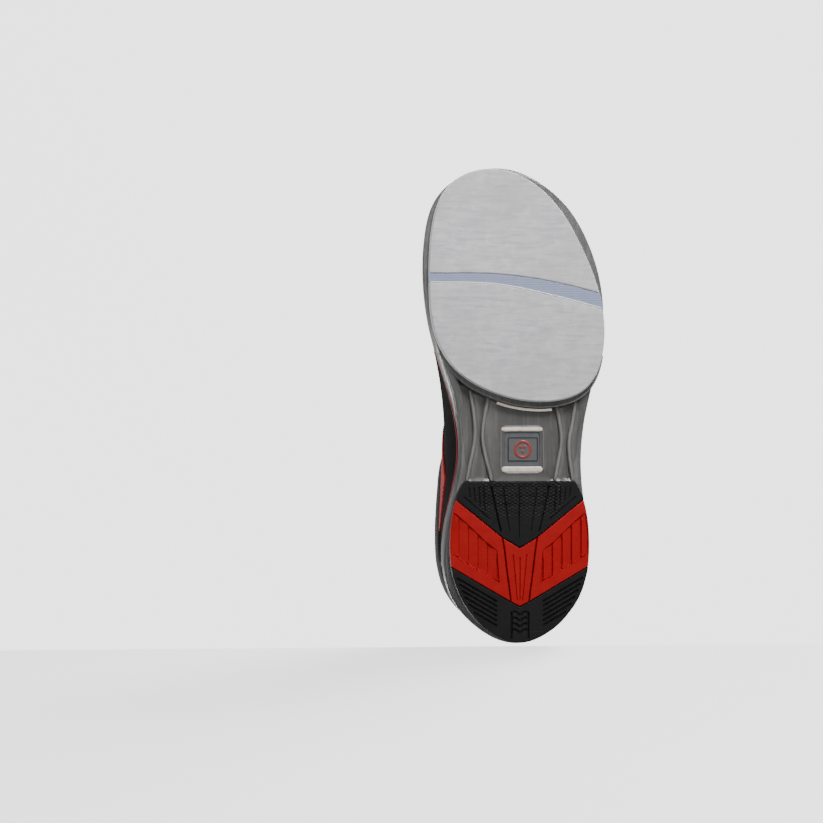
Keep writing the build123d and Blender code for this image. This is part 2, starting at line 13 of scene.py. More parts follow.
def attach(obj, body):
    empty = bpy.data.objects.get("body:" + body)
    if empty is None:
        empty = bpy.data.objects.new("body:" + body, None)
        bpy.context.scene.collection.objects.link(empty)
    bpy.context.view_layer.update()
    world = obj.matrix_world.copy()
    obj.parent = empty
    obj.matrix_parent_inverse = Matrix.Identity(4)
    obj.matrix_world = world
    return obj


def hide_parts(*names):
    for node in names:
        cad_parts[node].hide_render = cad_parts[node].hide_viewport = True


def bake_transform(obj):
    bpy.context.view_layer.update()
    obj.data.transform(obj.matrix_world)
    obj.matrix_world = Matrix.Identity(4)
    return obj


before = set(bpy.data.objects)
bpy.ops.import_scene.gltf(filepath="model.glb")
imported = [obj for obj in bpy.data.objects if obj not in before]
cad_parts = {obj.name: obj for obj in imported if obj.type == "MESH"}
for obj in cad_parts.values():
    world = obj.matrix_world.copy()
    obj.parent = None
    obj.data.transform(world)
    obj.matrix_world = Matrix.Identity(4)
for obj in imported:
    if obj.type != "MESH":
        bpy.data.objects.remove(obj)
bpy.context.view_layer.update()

MM = 0.001
SHIFT = np.array([2.1, -1.7, 0.0])      # from the curves' own zero to the part's origin


# ---------------------------------------------------------------- sums that repeat
def unit(vectors, least=1e-12):
    """Vectors, in the last axis, at length 1."""
    return vectors / np.maximum(np.linalg.norm(vectors, axis=-1, keepdims=True), least)


def lengths(points):
    """Distance along a line of points from its start."""
    return np.append(0, np.cumsum(np.linalg.norm(np.diff(points, axis=0), axis=1)))


def sideways(line):
    """Unit normals of a flat line, to its left."""
    d = np.gradient(line, axis=0)
    return unit(np.stack([-d[:, 1], d[:, 0]], 1))


def at(outline, z):
    """A flat outline at a height."""
    return np.column_stack([outline, np.full(len(outline), z)])


def spline_bends(h, v):
    """Second derivatives of the natural cubic spline through values that are h apart."""
    m, r = np.eye(len(v)), np.zeros(v.shape)
    for i in range(1, len(v) - 1):
        m[i, i - 1 : i + 2] = h[i - 1], 2 * (h[i - 1] + h[i]), h[i]
        r[i] = 6 * ((v[i + 1] - v[i]) / h[i] - (v[i] - v[i - 1]) / h[i - 1])
    return np.linalg.solve(m, r)


# ---------------------------------------------------------------- curves along the shoe
TOE_Y, HEEL_Y = -150.5, 152.5
MID_Y, HALF_Y = (TOE_Y + HEEL_Y) / 2, (HEEL_Y - TOE_Y) / 2


def turn(y):
    """Angle, 0 at the toe and pi at the heel, whose cosine gives y."""
    return np.arccos(np.clip((MID_Y - np.asarray(y, float)) / HALF_Y, -1, 1))


def y_of(t):
    return MID_Y - HALF_Y * np.cos(t)


class Along:
    """A natural cubic spline of (y, value) pairs, rounded off at the toe and at the heel."""

    def __init__(self, *pairs):
        t = np.array([float(turn(y)) for y, _ in pairs])
        v = np.array([value for _, value in pairs], float)
        self.t, self.v, self.h = t, v, np.diff(t)
        self.m = spline_bends(self.h, v)

    def __call__(self, y):
        t = turn(y)
        i = np.clip(np.searchsorted(self.t, t) - 1, 0, len(self.h) - 1)
        a, b, h, m, v = self.t[i + 1] - t, t - self.t[i], self.h[i], self.m, self.v
        curve = (m[i] * a**3 + m[i + 1] * b**3) / (6 * h)
        return curve + (v[i] / h - m[i] * h / 6) * a + (v[i + 1] / h - m[i + 1] * h / 6) * b


OUTER = Along((-150.5, -13), (-147, 4), (-140, 16), (-128, 29), (-108, 41), (-80, 50.5), (-50, 54),
              (-20, 51), (10, 46), (40, 43.5), (70, 44), (100, 44.5), (125, 38), (142, 24), (152.5, 0))
INNER = Along((-150.5, -13), (-147, -30), (-140, -42), (-128, -51), (-108, -56), (-80, -57.5),
              (-50, -54.5), (-20, -48), (10, -43.5), (40, -42), (70, -43.5), (100, -44.5), (125, -38),
              (142, -24), (152.5, 0))
TOP = Along((-150.5, 27), (-147, 33), (-140, 39), (-128, 44.5), (-108, 49.5), (-80, 60), (-50, 73),
            (-20, 89), (10, 106), (25, 117), (40, 127), (70, 135), (100, 135), (125, 130), (142, 118),
            (150, 95), (152.5, 70))
RIDGE = Along((-150.5, -13), (-128, -11), (-80, -6), (-20, -3), (40, 0), (152.5, 0))
TUCK_OUT = Along((-150.5, 0.02), (-50, 0.01), (-5, 0.08), (30, 0.15), (55, 0.08), (85, 0.02), (152.5, 0.01))
TUCK_IN = Along((-150.5, 0.02), (-60, 0.01), (-20, 0.10), (28, 0.26), (55, 0.15), (85, 0.03), (152.5, 0.01))
SQUARE = Along((-150.5, 2.2), (-60, 2.1), (0, 2.3), (60, 2.7), (152.5, 2.6))
BASE = Along((-150.5, 16), (-125, 19), (-50, 20), (0, 24), (40, 33), (100, 36), (135, 34), (152.5, 30))
FEATHER = Along((-150.5, 15), (-50, 15), (0, 17), (60, 22), (152.5, 24))
RIM = Along((-150.5, 30), (-125, 24), (-77, 21), (-20, 24), (25, 30), (70, 31), (120, 35), (152.5, 41))
RIM_INNER = Along((-150.5, 30), (-125, 24), (-77, 21), (-45, 20), (-12, 17), (25, 16.5), (58, 19), (92, 30),
                  (120, 35), (152.5, 41))
SOLE_TOP = Along((-150.5, 11), (-20, 11), (25, 14), (60, 13), (152.5, 13))
UNDERSIDE = Along((-150.5, 5), (-25, 5), (-8, 7), (4, 10), (44, 10), (60, 9.2), (152.5, 9.2))
TUCK_TOP, TUCK_LOW, FLOOR_Z = 38.0, 8.0, 4.0

FLEX_Y, FLEX_Z, FLEX_SKEW = -77.0, 11.0, math.radians(7.4)
TOE_SPRING, SPRING_REACH = math.radians(6.0), 14.0
PAD_THICK, PAD_FACE, HEEL_THICK, HEEL_TREAD, SHANK_UNDER = 5.0, 1.6, 9.0, 3.5, 10.0


def rise(y):
    """Height that the toe spring adds to the upper at y."""
    d = np.maximum(0.0, FLEX_Y - np.asarray(y, float))
    return 0.12 * (np.hypot(d, 18.0) - 18.0)


def sprung(points):
    """Points of a flat sole layer, bent up in front of the flex line by the toe spring."""
    points = np.asarray(points, float).copy()
    forward = np.array([math.sin(FLEX_SKEW), -math.cos(FLEX_SKEW)])
    ahead = (points[..., :2] - (0, FLEX_Y)) @ forward
    share = np.clip((ahead + SPRING_REACH) / (2 * SPRING_REACH), 0, 1)
    angle = TOE_SPRING * share
    bent = SPRING_REACH / TOE_SPRING * 2
    inside = np.minimum(ahead, SPRING_REACH)
    along = np.where(share > 0, bent * np.sin(angle) - SPRING_REACH, ahead)
    lift = np.where(share > 0, bent * (1 - np.cos(angle)), 0)
    beyond = np.maximum(0, ahead - SPRING_REACH)
    along += beyond * math.cos(TOE_SPRING)
    lift += beyond * math.sin(TOE_SPRING)
    height = points[..., 2] - PAD_THICK
    along -= height * np.sin(angle)
    moved = along - np.where(share > 0, inside + beyond, ahead)
    points[..., :2] += moved[..., None] * forward
    points[..., 2] = PAD_THICK + lift + height * np.cos(angle)
    return points


# ---------------------------------------------------------------- the upper's surface
ROWS, COLS = 481, 281
HALF_COLS = COLS // 2


def half_section(y, side):
    """(x, z) down one side of the cross-section at y, from the ridge line to the sole."""
    ridge, lift, power = RIDGE(y), rise(y), SQUARE(y)
    edge, tuck = (OUTER(y), TUCK_OUT(y)) if side > 0 else (INNER(y), TUCK_IN(y))
    base, top = BASE(y) + lift, TOP(y) + lift
    a = np.linspace(math.pi / 2, 0, 80)
    share = np.append(np.maximum(np.cos(a), 0) ** (2 / power), np.ones(12))
    z = np.append(base + (top - base) * np.sin(a) ** (2 / power), np.linspace(base, FLOOR_Z + lift, 13)[1:])
    lean = np.clip((TUCK_TOP + lift - z) / (TUCK_TOP - TUCK_LOW), 0, 1.1) ** 1.5
    return ridge + (edge - ridge) * share * (1 - tuck * lean), z


def skin_tables():
    """Points, normals and surface distances of the upper, by row along the shoe and column across it."""
    points = np.zeros((ROWS, COLS, 3))
    for row, t in enumerate(np.linspace(0, math.pi, ROWS)):
        for side in (1, -1):
            x, z = half_section(y_of(t), side)
            along = np.append(0, np.cumsum(np.hypot(np.diff(x), np.diff(z))))
            even = np.linspace(0, along[-1], HALF_COLS + 1)
            cols = HALF_COLS + side * np.arange(HALF_COLS + 1)
            points[row, cols, 0] = np.interp(even, along, x)
            points[row, cols, 1] = y_of(t)
            points[row, cols, 2] = np.interp(even, along, z)
    normals = np.cross(np.gradient(points, axis=1), np.gradient(points, axis=0))
    normals[0], normals[-1] = (0, -1, 0), (0, 1, 0)
    normals = unit(normals, 1e-9)
    if normals[ROWS // 2, HALF_COLS, 2] < 0:
        normals[1:-1] *= -1
    across = np.zeros((ROWS, COLS, 1))
    steps = np.linalg.norm(np.diff(points, axis=1), axis=2)
    across[:, 1:, 0] = np.cumsum(steps, axis=1)
    across -= across[:, HALF_COLS : HALF_COLS + 1]
    along = np.zeros((ROWS, COLS, 1))
    along[1:, :, 0] = np.cumsum(np.linalg.norm(np.diff(points, axis=0), axis=2), axis=0)
    return points, normals, np.concatenate([across, along, 0 * along], axis=2)


SKIN_POINTS, SKIN_NORMALS, SKIN_GRAIN = skin_tables()


def lookup(table, t, f):
    row = np.clip(np.asarray(t) / math.pi * (ROWS - 1), 0, ROWS - 1.001)
    col = np.clip((np.asarray(f) + 1) / 2 * (COLS - 1), 0, COLS - 1.001)
    i, j = row.astype(int), col.astype(int)
    a, b = (row - i)[..., None], (col - j)[..., None]
    near = table[i, j] * (1 - b) + table[i, j + 1] * b
    far = table[i + 1, j] * (1 - b) + table[i + 1, j + 1] * b
    return near * (1 - a) + far * a


def skin(t, f, lift=0.0):
    """Points lift mm outside the upper. f is 0 on the ridge, 1 at the outer sole edge, -1 at the inner."""
    lift = np.asarray(lift, float)
    return lookup(SKIN_POINTS, t, f) + lookup(SKIN_NORMALS, t, f) * lift[..., None]


def crossing(t, side, axis, value):
    """The f on one side where the surface reaches a value of x (axis 0) or z (axis 2)."""
    t, value = np.broadcast_arrays(np.asarray(t, float), np.asarray(value, float))
    cols = HALF_COLS + side * np.arange(HALF_COLS + 1)
    fractions = np.linspace(0, 1, HALF_COLS + 1)
    found = np.zeros(t.shape)
    rows = np.clip(t / math.pi * (ROWS - 1), 0, ROWS - 1.001)
    sign = -1.0 if axis == 2 else side
    for k in np.ndindex(t.shape):
        i = int(rows[k])
        a = rows[k] - i
        line = SKIN_POINTS[i, cols, axis] * (1 - a) + SKIN_POINTS[i + 1, cols, axis] * a
        found[k] = np.interp(sign * value[k], np.maximum.accumulate(sign * line), fractions)
    return found * side


def level(t, side, z):
    """The f where the surface is at height z, a number or a function of y, toe spring added."""
    y = y_of(np.asarray(t, float))
    return crossing(t, side, 2, (z(y) if callable(z) else z) + rise(y))


def smooth_through(*pairs):
    """Smooth curve through (a, value) pairs, as a function of a."""
    xs = np.array([p[0] for p in pairs], float)
    vs = np.array([p[1] for p in pairs], float)
    slopes = np.gradient(vs, xs) if len(xs) > 2 else np.full(2, (vs[1] - vs[0]) / (xs[1] - xs[0]))

    def curve(x):
        x = np.clip(np.asarray(x, float), xs[0], xs[-1])
        i = np.clip(np.searchsorted(xs, x) - 1, 0, len(xs) - 2)
        h = xs[i + 1] - xs[i]
        s = (x - xs[i]) / h
        ends = vs[i] * (1 + 2 * s) * (1 - s) ** 2 + vs[i + 1] * s * s * (3 - 2 * s)
        return ends + slopes[i] * h * s * (1 - s) ** 2 - slopes[i + 1] * h * s * s * (1 - s)

    return curve


TOPLINE = smooth_through((13, 140), (15.5, 125), (18, 113), (28, 100), (48, 86), (78, 70), (104, 69),
                         (126, 79), (141, 94), (150, 101), (165, 104))
THROAT_FRONT = -60.0
THROAT = {1: smooth_through((-60, -4), (-57, 3), (-52, 8), (-36, 12), (-10, 16), (14, 20), (60, 22)),
          -1: smooth_through((-60, -4), (-57, -10), (-52, -14), (-36, -19), (-10, -22), (14, -25),
                             (60, -28))}


def opening_edge(t, side):
    """The f of the upper's own edge: the ridge line, then the throat's edge, then the topline."""
    t = np.asarray(t, float)
    y = y_of(t)
    throat = np.where((y < THROAT_FRONT) | (y > 60), 0.0, crossing(t, side, 0, THROAT[side](y)))
    collar = np.where(y < 13, 0.0, crossing(t, side, 2, TOPLINE(y)))
    return side * np.maximum(throat * side, collar * side)


# ---------------------------------------------------------------- meshes
def new_object(name, verts, faces, grain=None, smooth=38.0):
    """Object from points in millimetres, smooth except at edges sharper than an angle in degrees."""
    mesh = bpy.data.meshes.new(name)
    points = (np.asarray(verts, float).reshape(-1, 3) + SHIFT) * MM
    mesh.from_pydata(points.tolist(), [], faces)
    if grain is None:
        grain = verts
    attribute = mesh.attributes.new("grain", "FLOAT_VECTOR", "POINT")
    attribute.data.foreach_set("vector", np.asarray(grain, np.float32).reshape(-1, 3).ravel())
    bm = bmesh.new()
    bm.from_mesh(mesh)
    bmesh.ops.remove_doubles(bm, verts=bm.verts, dist=0.0000005)
    bmesh.ops.recalc_face_normals(bm, faces=bm.faces)
    if bm.calc_volume(signed=True) < 0:
        bmesh.ops.reverse_faces(bm, faces=bm.faces)
    bm.to_mesh(mesh)
    bm.free()
    mesh.shade_smooth()
    mesh.set_sharp_from_angle(angle=math.radians(smooth))
    obj = bpy.data.objects.new(name, mesh)
    bpy.context.scene.collection.objects.link(obj)
    return obj


def grid_faces(rows, cols, start=0, flip=False):
    """Quads of a grid of points stored row by row."""
    faces = []
    for i in range(rows - 1):
        for j in range(cols - 1):
            a, b = start + i * cols + j, start + (i + 1) * cols + j
            faces.append((a, b, b + 1, a + 1) if not flip else (a, a + 1, b + 1, b))
    return faces


def rim_loop(rows, cols):
    """Indices round the border of a grid."""
    right = [i * cols + cols - 1 for i in range(rows)]
    back = [(rows - 1) * cols + j for j in range(cols - 2, -1, -1)]
    return list(range(cols)) + right[1:] + back + [i * cols for i in range(rows - 2, 0, -1)]


def slab(name, top, bottom, grain=None, smooth=38.0):
    """Closed solid between two grids of points of the same size."""
    rows, cols = top.shape[:2]
    count = rows * cols
    faces = grid_faces(rows, cols) + grid_faces(rows, cols, count, flip=True)
    loop = rim_loop(rows, cols)
    for a, b in zip(loop, loop[1:] + loop[:1]):
        faces.append((a, b, b + count, a + count))
    if grain is not None:
        grain = np.concatenate([grain.reshape(-1, 3), grain.reshape(-1, 3)])
    return new_object(name, np.concatenate([top.reshape(-1, 3), bottom.reshape(-1, 3)]), faces, grain,
                      smooth)


def tube(name, sections, grain=None, closed=False, smooth=50.0):
    """Solid through a row of closed cross-sections, joined end to end or closed with caps."""
    rows, around = sections.shape[:2]
    faces = []
    for i in range(rows if closed else rows - 1):
        for j in range(around):
            a, b = i * around + j, (i + 1) % rows * around + j
            right = (j + 1) % around - j
            faces.append((a, a + right, b + right, b))
    if not closed:
        faces.append(tuple(reversed(range(around))))
        faces.append(tuple((rows - 1) * around + j for j in range(around)))
    return new_object(name, sections, faces, grain, smooth)


def spaced(length, step, roll, ends=(True, True)):
    """Fractions from 0 to 1, a step apart, with extra ones near the ends that are rolled over."""
    inner = np.linspace(0, 1, max(3, int(length / step) + 1))
    extra = np.array([0.12, 0.35, 0.7, 1.1, 1.6]) * roll / length
    parts = [inner] + ([extra] if ends[0] else []) + ([1 - extra] if ends[1] else [])
    return np.unique(np.round(np.concatenate(parts), 6))


def measured(points, axis):
    """Distance along each grid line from its start, in millimetres."""
    steps = np.linalg.norm(np.diff(points, axis=axis), axis=2)
    zero = np.zeros_like(np.take(steps, [0], axis=axis))
    return np.cumsum(np.concatenate([zero, steps], axis=axis), axis=axis)


def rolled(points, roll, edges):
    """1 inside a grid of points, falling as a quarter circle to 0 at the edges named (u0, u1, v0, v1)."""
    along, across = measured(points, 0), measured(points, 1)
    depths = [along, along[-1:] - along, across, across[:, -1:] - across]
    depth = np.full(points.shape[:2], 1e9)
    for wanted, d in zip(edges, depths):
        if wanted:
            depth = np.minimum(depth, d)
    return np.sqrt(np.clip(1 - (1 - np.clip(depth / roll, 0, 1)) ** 2, 0, 1))


PANEL_ROLL = 1.0                        # radius of a panel's rolled edges
NO_EDGES = (0, 0, 0, 0)


def panel(name, t, f, lift=0.0, thick=1.2, edges=(1, 1, 1, 1), sink=0.4, swell=0.0):
    """Panel on the upper over a grid of (t, f), its edges rolled, swelling by some mm at its middle."""
    flat = skin(t, f)
    height = thick * rolled(flat, PANEL_ROLL, edges)
    if swell:
        height = height + swell * rolled(flat, 14.0, edges) ** 2
    top = skin(t, f, lift + height)
    return slab(name, top, skin(t, f, np.full(t.shape, lift - sink)), lookup(SKIN_GRAIN, t, f))


def across_grid(t0, t1, f0, f1, length, width, step=2.0, edges=(1, 1, 1, 1)):
    """(t, f) grid: u runs along the shoe from t0 to t1, v across it from f0(t) to f1(t)."""
    u = spaced(length, step, PANEL_ROLL, edges[:2])[:, None]
    v = spaced(width, step, PANEL_ROLL, edges[2:])[None, :]
    line = (t0 + (t1 - t0) * u)[:, 0]
    low, high = f0(line)[:, None], f1(line)[:, None]
    return np.repeat(line[:, None], v.shape[1], axis=1), low + (high - low) * v


def patch_grid(t0, t1, f0, f1, length, width, step=2.0, edges=(1, 1, 1, 1)):
    """As across_grid, but its front and back edges t0(v) and t1(v) may slant or curve."""
    u = spaced(length, step, PANEL_ROLL, edges[:2])[:, None]
    v = spaced(width, step, PANEL_ROLL, edges[2:])[None, :]
    t = t0(v) + (t1(v) - t0(v)) * u
    low, high = f0(t), f1(t)
    return t, low + (high - low) * v


def drawn_grid(side, front, back, length, width, step=2.0):
    """(t, f) grid of a panel drawn in the side view: front and back are its edges, as (y, z) corners."""
    u = spaced(length, step, PANEL_ROLL)[:, None, None]
    v = spaced(width, step, PANEL_ROLL)
    ends = []
    for corners in (front, back):
        places = np.linspace(0, 1, len(corners))
        ends.append(np.stack([smooth_through(*zip(places, [c[k] for c in corners]))(v) for k in (0, 1)], 1))
    yz = ends[0][None] * (1 - u) + ends[1][None] * u
    t = turn(yz[..., 0])
    return t, crossing(t, side, 2, yz[..., 1] + rise(yz[..., 0]))


def wrap_round(grids):
    """Joins the (t, f) grids of the two sides at the heel: the outer side's rows, then the inner side's."""
    (ta, fa), (tb, fb) = grids
    return np.concatenate([ta, tb[::-1][1:]]), np.concatenate([fa, fb[::-1][1:]])


# ---------------------------------------------------------------- flat outlines, seen from below
def spline_points(points, step=1.5, closed=False):
    """Dense points along a smooth curve through the given ones."""
    p = np.asarray(points, float)
    n = len(p)
    if closed:
        h = np.linalg.norm(np.roll(p, -1, 0) - p, axis=1)
        m, r = np.zeros((n, n)), np.zeros(p.shape)
        for i in range(n):
            a, b = h[i - 1], h[i]
            m[i, i - 1] += a
            m[i, i] += 2 * (a + b)
            m[i, (i + 1) % n] += b
            r[i] = 6 * ((p[(i + 1) % n] - p[i]) / b - (p[i] - p[i - 1]) / a)
        bend = np.linalg.solve(m, r)
    else:
        h = np.linalg.norm(np.diff(p, axis=0), axis=1)
        bend = spline_bends(h, p)
    made = []
    for i in range(len(h)):
        j = (i + 1) % n
        b = (np.linspace(0, 1, max(2, int(h[i] / step) + 1), endpoint=False) * h[i])[:, None]
        a = h[i] - b
        curve = (bend[i] * a**3 + bend[j] * b**3) / (6 * h[i])
        made.append(curve + (p[i] / h[i] - bend[i] * h[i] / 6) * a + (p[j] / h[i] - bend[j] * h[i] / 6) * b)
    if not closed:
        made.append(p[-1:])
    return np.concatenate(made)


def inset(outline, depth):
    """A closed outline moved inwards."""
    p = np.asarray(outline, float)
    after = np.roll(p, -1, 0) - p
    turned = np.sign(np.sum(p[:, 0] * np.roll(p[:, 1], -1) - np.roll(p[:, 0], -1) * p[:, 1]))
    normal = unit(turned * np.stack([-after[:, 1], after[:, 0]], 1))
    mitre = normal + np.roll(normal, 1, 0)
    mitre /= np.maximum(np.sum(mitre * normal, axis=1, keepdims=True), 0.35)
    return p + depth * mitre


def inside(points, outline):
    """Which points lie in a closed outline."""
    x, y = points[:, 0:1], points[:, 1:2]
    a, b = outline, np.roll(outline, -1, 0)
    spans = (a[:, 1] > y) != (b[:, 1] > y)
    slope = (b[:, 0] - a[:, 0]) / np.where(b[:, 1] == a[:, 1], 1e-12, b[:, 1] - a[:, 1])
    return np.sum(spans & (x < a[:, 0] + slope * (y - a[:, 1])), axis=1) % 2 == 1


def distance_to(points, line, closed=True):
    """Distance of each point from a line or a closed outline."""
    a = line if closed else line[:-1]
    b = np.roll(line, -1, 0) if closed else line[1:]
    best = np.full(len(points), 1e9)
    for p, q in zip(a, b):
        d = q - p
        s = np.clip(((points - p) @ d) / max(d @ d, 1e-12), 0, 1)
        best = np.minimum(best, np.linalg.norm(points - p - s[:, None] * d, axis=1))
    return best


def split_outline(outline, cut):
    """The two outlines that a line makes of a closed one: the one before it (lower y) comes first."""
    p, hits = np.asarray(outline, float), []
    cut = np.asarray(cut, float)
    for k in range(len(cut) - 1):
        for i in range(len(p)):
            a, d = p[i], p[(i + 1) % len(p)] - p[i]
            e = cut[k + 1] - cut[k]
            cross = d[0] * e[1] - d[1] * e[0]
            if abs(cross) < 1e-12:
                continue
            w = cut[k] - a
            s, r = (w[0] * e[1] - w[1] * e[0]) / cross, (w[0] * d[1] - w[1] * d[0]) / cross
            if 0 <= s < 1 and 0 <= r < 1:
                hits.append((k + r, i + s, a + s * d))
    hits.sort(key=lambda h: h[0])
    (c0, s0, p0), (c1, s1, p1) = hits[0], hits[-1]
    middle = cut[int(c0) + 1 : int(c1) + 1]
    after_first = [p[i % len(p)] for i in range(int(s0) + 1, int(s1 if s1 > s0 else s1 + len(p)) + 1)]
    after_last = [p[i % len(p)] for i in range(int(s1) + 1, int(s0 if s0 > s1 else s0 + len(p)) + 1)]
    one = np.array([p0, *after_first, p1, *middle[::-1]])
    two = np.array([p1, *after_last, p0, *middle])
    return (one, two) if one[:, 1].mean() < two[:, 1].mean() else (two, one)


def ribbon_outline(line, width, end_width=None):
    """Closed outline of a groove or rib along a line, tapering to end_width."""
    p = np.asarray(line, float)
    n = sideways(p)
    w = np.linspace(width, width if end_width is None else end_width, len(p))[:, None] / 2
    return np.concatenate([p + n * w, (p - n * w)[::-1]])


def relief(name, outline, face, back, roll=0.6, cuts=(), texture=None, step=2.0, bend=False, shape=None,
           lines=(), smooth=32.0):
    """Moulded piece seen from below: an outline with rolled edges and cuts sunk into its face.

    face and back are heights, or functions of (x, y). A cut is (outline, depth, bevel), and its depth may
    be a function of (x, y). texture(x, y) adds a depth inside, shape(x, y) everywhere. lines are edges."""
    rings = [inset(outline, roll * s) for s in (0, 0.12, 0.35, 0.7, 1.1, 1.6)]
    for cut, _, bevel in cuts:
        rings += [np.asarray(cut, float), inset(cut, bevel)]
    points, edges = [], []
    for ring in rings:
        start = len(points)
        points += [tuple(q) for q in ring]
        edges += [(start + i, start + (i + 1) % len(ring)) for i in range(len(ring))]
    for line in lines:
        start = len(points)
        points += [tuple(q) for q in line]
        edges += [(start + i, start + i + 1) for i in range(len(line) - 1)]
    low, high = outline.min(0), outline.max(0)
    grid = np.stack(np.meshgrid(np.arange(low[0], high[0], step), np.arange(low[1], high[1], step)), 2)
    grid[1::2, :, 0] += step / 2
    grid = grid.reshape(-1, 2)
    points += [tuple(q) for q in grid[inside(grid, rings[5])]]
    flat, _, faces, *_ = delaunay_2d_cdt([Vector(q) for q in points], edges, [], 0, 0.0005)
    flat = np.array([tuple(q) for q in flat])
    faces = np.array([f for f in faces if len(f) == 3])
    faces = faces[inside(flat[faces].mean(1), outline)]
    used = np.unique(faces)
    number = np.full(len(flat), -1)
    number[used] = np.arange(len(used))
    flat, faces = flat[used], number[faces]
    x, y = flat[:, 0], flat[:, 1]
    edge = np.clip(distance_to(flat, outline) / roll, 0, 1)
    depth = np.zeros(len(flat))
    if texture:
        depth += texture(x, y) * np.clip(edge, 0, 1)
    for cut, wanted, bevel in cuts:
        within = inside(flat, np.asarray(cut, float))
        ramp = np.where(within, np.clip(distance_to(flat, np.asarray(cut, float)) / bevel, 0, 1), 0)
        sunk = wanted(x, y) if callable(wanted) else wanted
        depth = np.maximum(depth * (1 - ramp), sunk * ramp)
    depth += roll * (1 - np.sqrt(np.clip(1 - (1 - edge) ** 2, 0, 1)))
    if shape:
        depth += shape(x, y)
    bottom = (face(x, y) if callable(face) else face) + depth
    top = (back(x, y) if callable(back) else np.full(len(flat), float(back)))
    below = np.column_stack([flat, np.minimum(bottom, top - 0.05)])
    both = np.concatenate([below, np.column_stack([flat, top])])
    sides = {}
    for f in faces.tolist():
        for a, b in ((f[0], f[1]), (f[1], f[2]), (f[2], f[0])):
            sides[a, b] = (b, a) not in sides
            if not sides[a, b]:
                sides[b, a] = False
    n = len(flat)
    made = [tuple(f) for f in faces.tolist()] + [(c + n, b + n, a + n) for a, b, c in faces.tolist()]
    made += [(a, b, b + n, a + n) for (a, b), alone in sides.items() if alone]
    return new_object(name, sprung(both) if bend else both, made, both, smooth)


def stacked(name, rings):
    """Solid through outlines of one point count, each at its height: [(outline, z), ...] from below up."""
    sections = np.stack([at(*ring) for ring in rings])
    return tube(name, sections, sections, smooth=38.0)


# ---------------------------------------------------------------- the peel-off slide pad
PAD_POINTS = [(-19, -152.5), (-44.7, -141), (-55.5, -116), (-58, -79), (-53.5, -43), (-39.6, -21),
              (-19, -8.3), (16, -1.3), (44.7, -10.2), (55.5, -34.5), (53.6, -69.5), (41.5, -102.7),
              (23, -132.7), (0, -149.3)]
PAD_OUTLINE = spline_points(PAD_POINTS, 1.6, closed=True)
BAND_FRONT = smooth_through((-70, -83.8), (-58, -83.6), (-10.7, -83), (22.3, -78.5), (54, -70.8),
                            (66, -67.5))
BAND_BACK = smooth_through((-70, -78.8), (-58, -78.5), (-10.7, -76.8), (22.3, -70.3), (54, -62),
                           (66, -58.5))
BAND_X = np.linspace(-68, 64, 67)


def bends_with_toe(obj, *nodes, coat, rear="shoe", front="toe"):
    """Finishes a piece that crosses the flex line."""
    finish(obj, None, *nodes, coat=coat)
    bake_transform(obj)
    return obj


# the material slot of each look; a piece whose slot is another one says so
SLOTS = {"microfibre": "slide_microfibre", "flex_strip": "flex_strip", "pad_foam": "pad_foam",
         "hook_tape": "hook_tape", "loops": "loop_fabric", "clear_tpu": "clear_tpu",
         "clear_rib_painted_highlight": "clear_tpu",
         "clear_wall_painted_light": "clear_tpu", "black_rubber": "black_rubber", "red_rubber": "red_rubber",
         "eva_foam": "eva_foam", "fibreboard": "insole_fibreboard", "footbed": "footbed_foam",
         "counter": "counter_board", "leather": "black_synthetic", "quarter": "black_synthetic",
         "red_leather": "red_synthetic", "piping": "piping", "collar": "lining_knit",
         "lining": "lining_knit",
         "padding": "padding_foam", "mesh": "black_mesh", "webbing": "lace_webbing",
         "eyelet_metal": "eyelet_metal"}


def finish(obj, body, *nodes, coat, slot=None):
    """Gives a piece its body and its material, and hides the CAD nodes it stands for; its slot is looked up
    but not used.
    """
    slot = slot or SLOTS.get(coat)
    if body:
        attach(obj, body)
    if nodes:
        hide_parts(*nodes)
    obj.data.materials.append(LOOKS[coat])
    return obj


def pad_swell(x, y):
    """Slight hollows of the stuffed face, deepest along the band."""
    wave = 0.05 * np.sin(x / 13.0 + 0.6) * np.sin(y / 17.0) + 0.03 * np.sin(x / 5.1 + y / 7.3)
    near_band = np.minimum(abs(y - BAND_FRONT(x)), abs(y - BAND_BACK(x)))
    return wave + 0.06 + 0.22 * np.exp(-near_band / 3.0)


def bends_with_pad(obj, *nodes, coat):
    return bends_with_toe(obj, *nodes, coat=coat, rear="slide_pad", front="pad_toe")


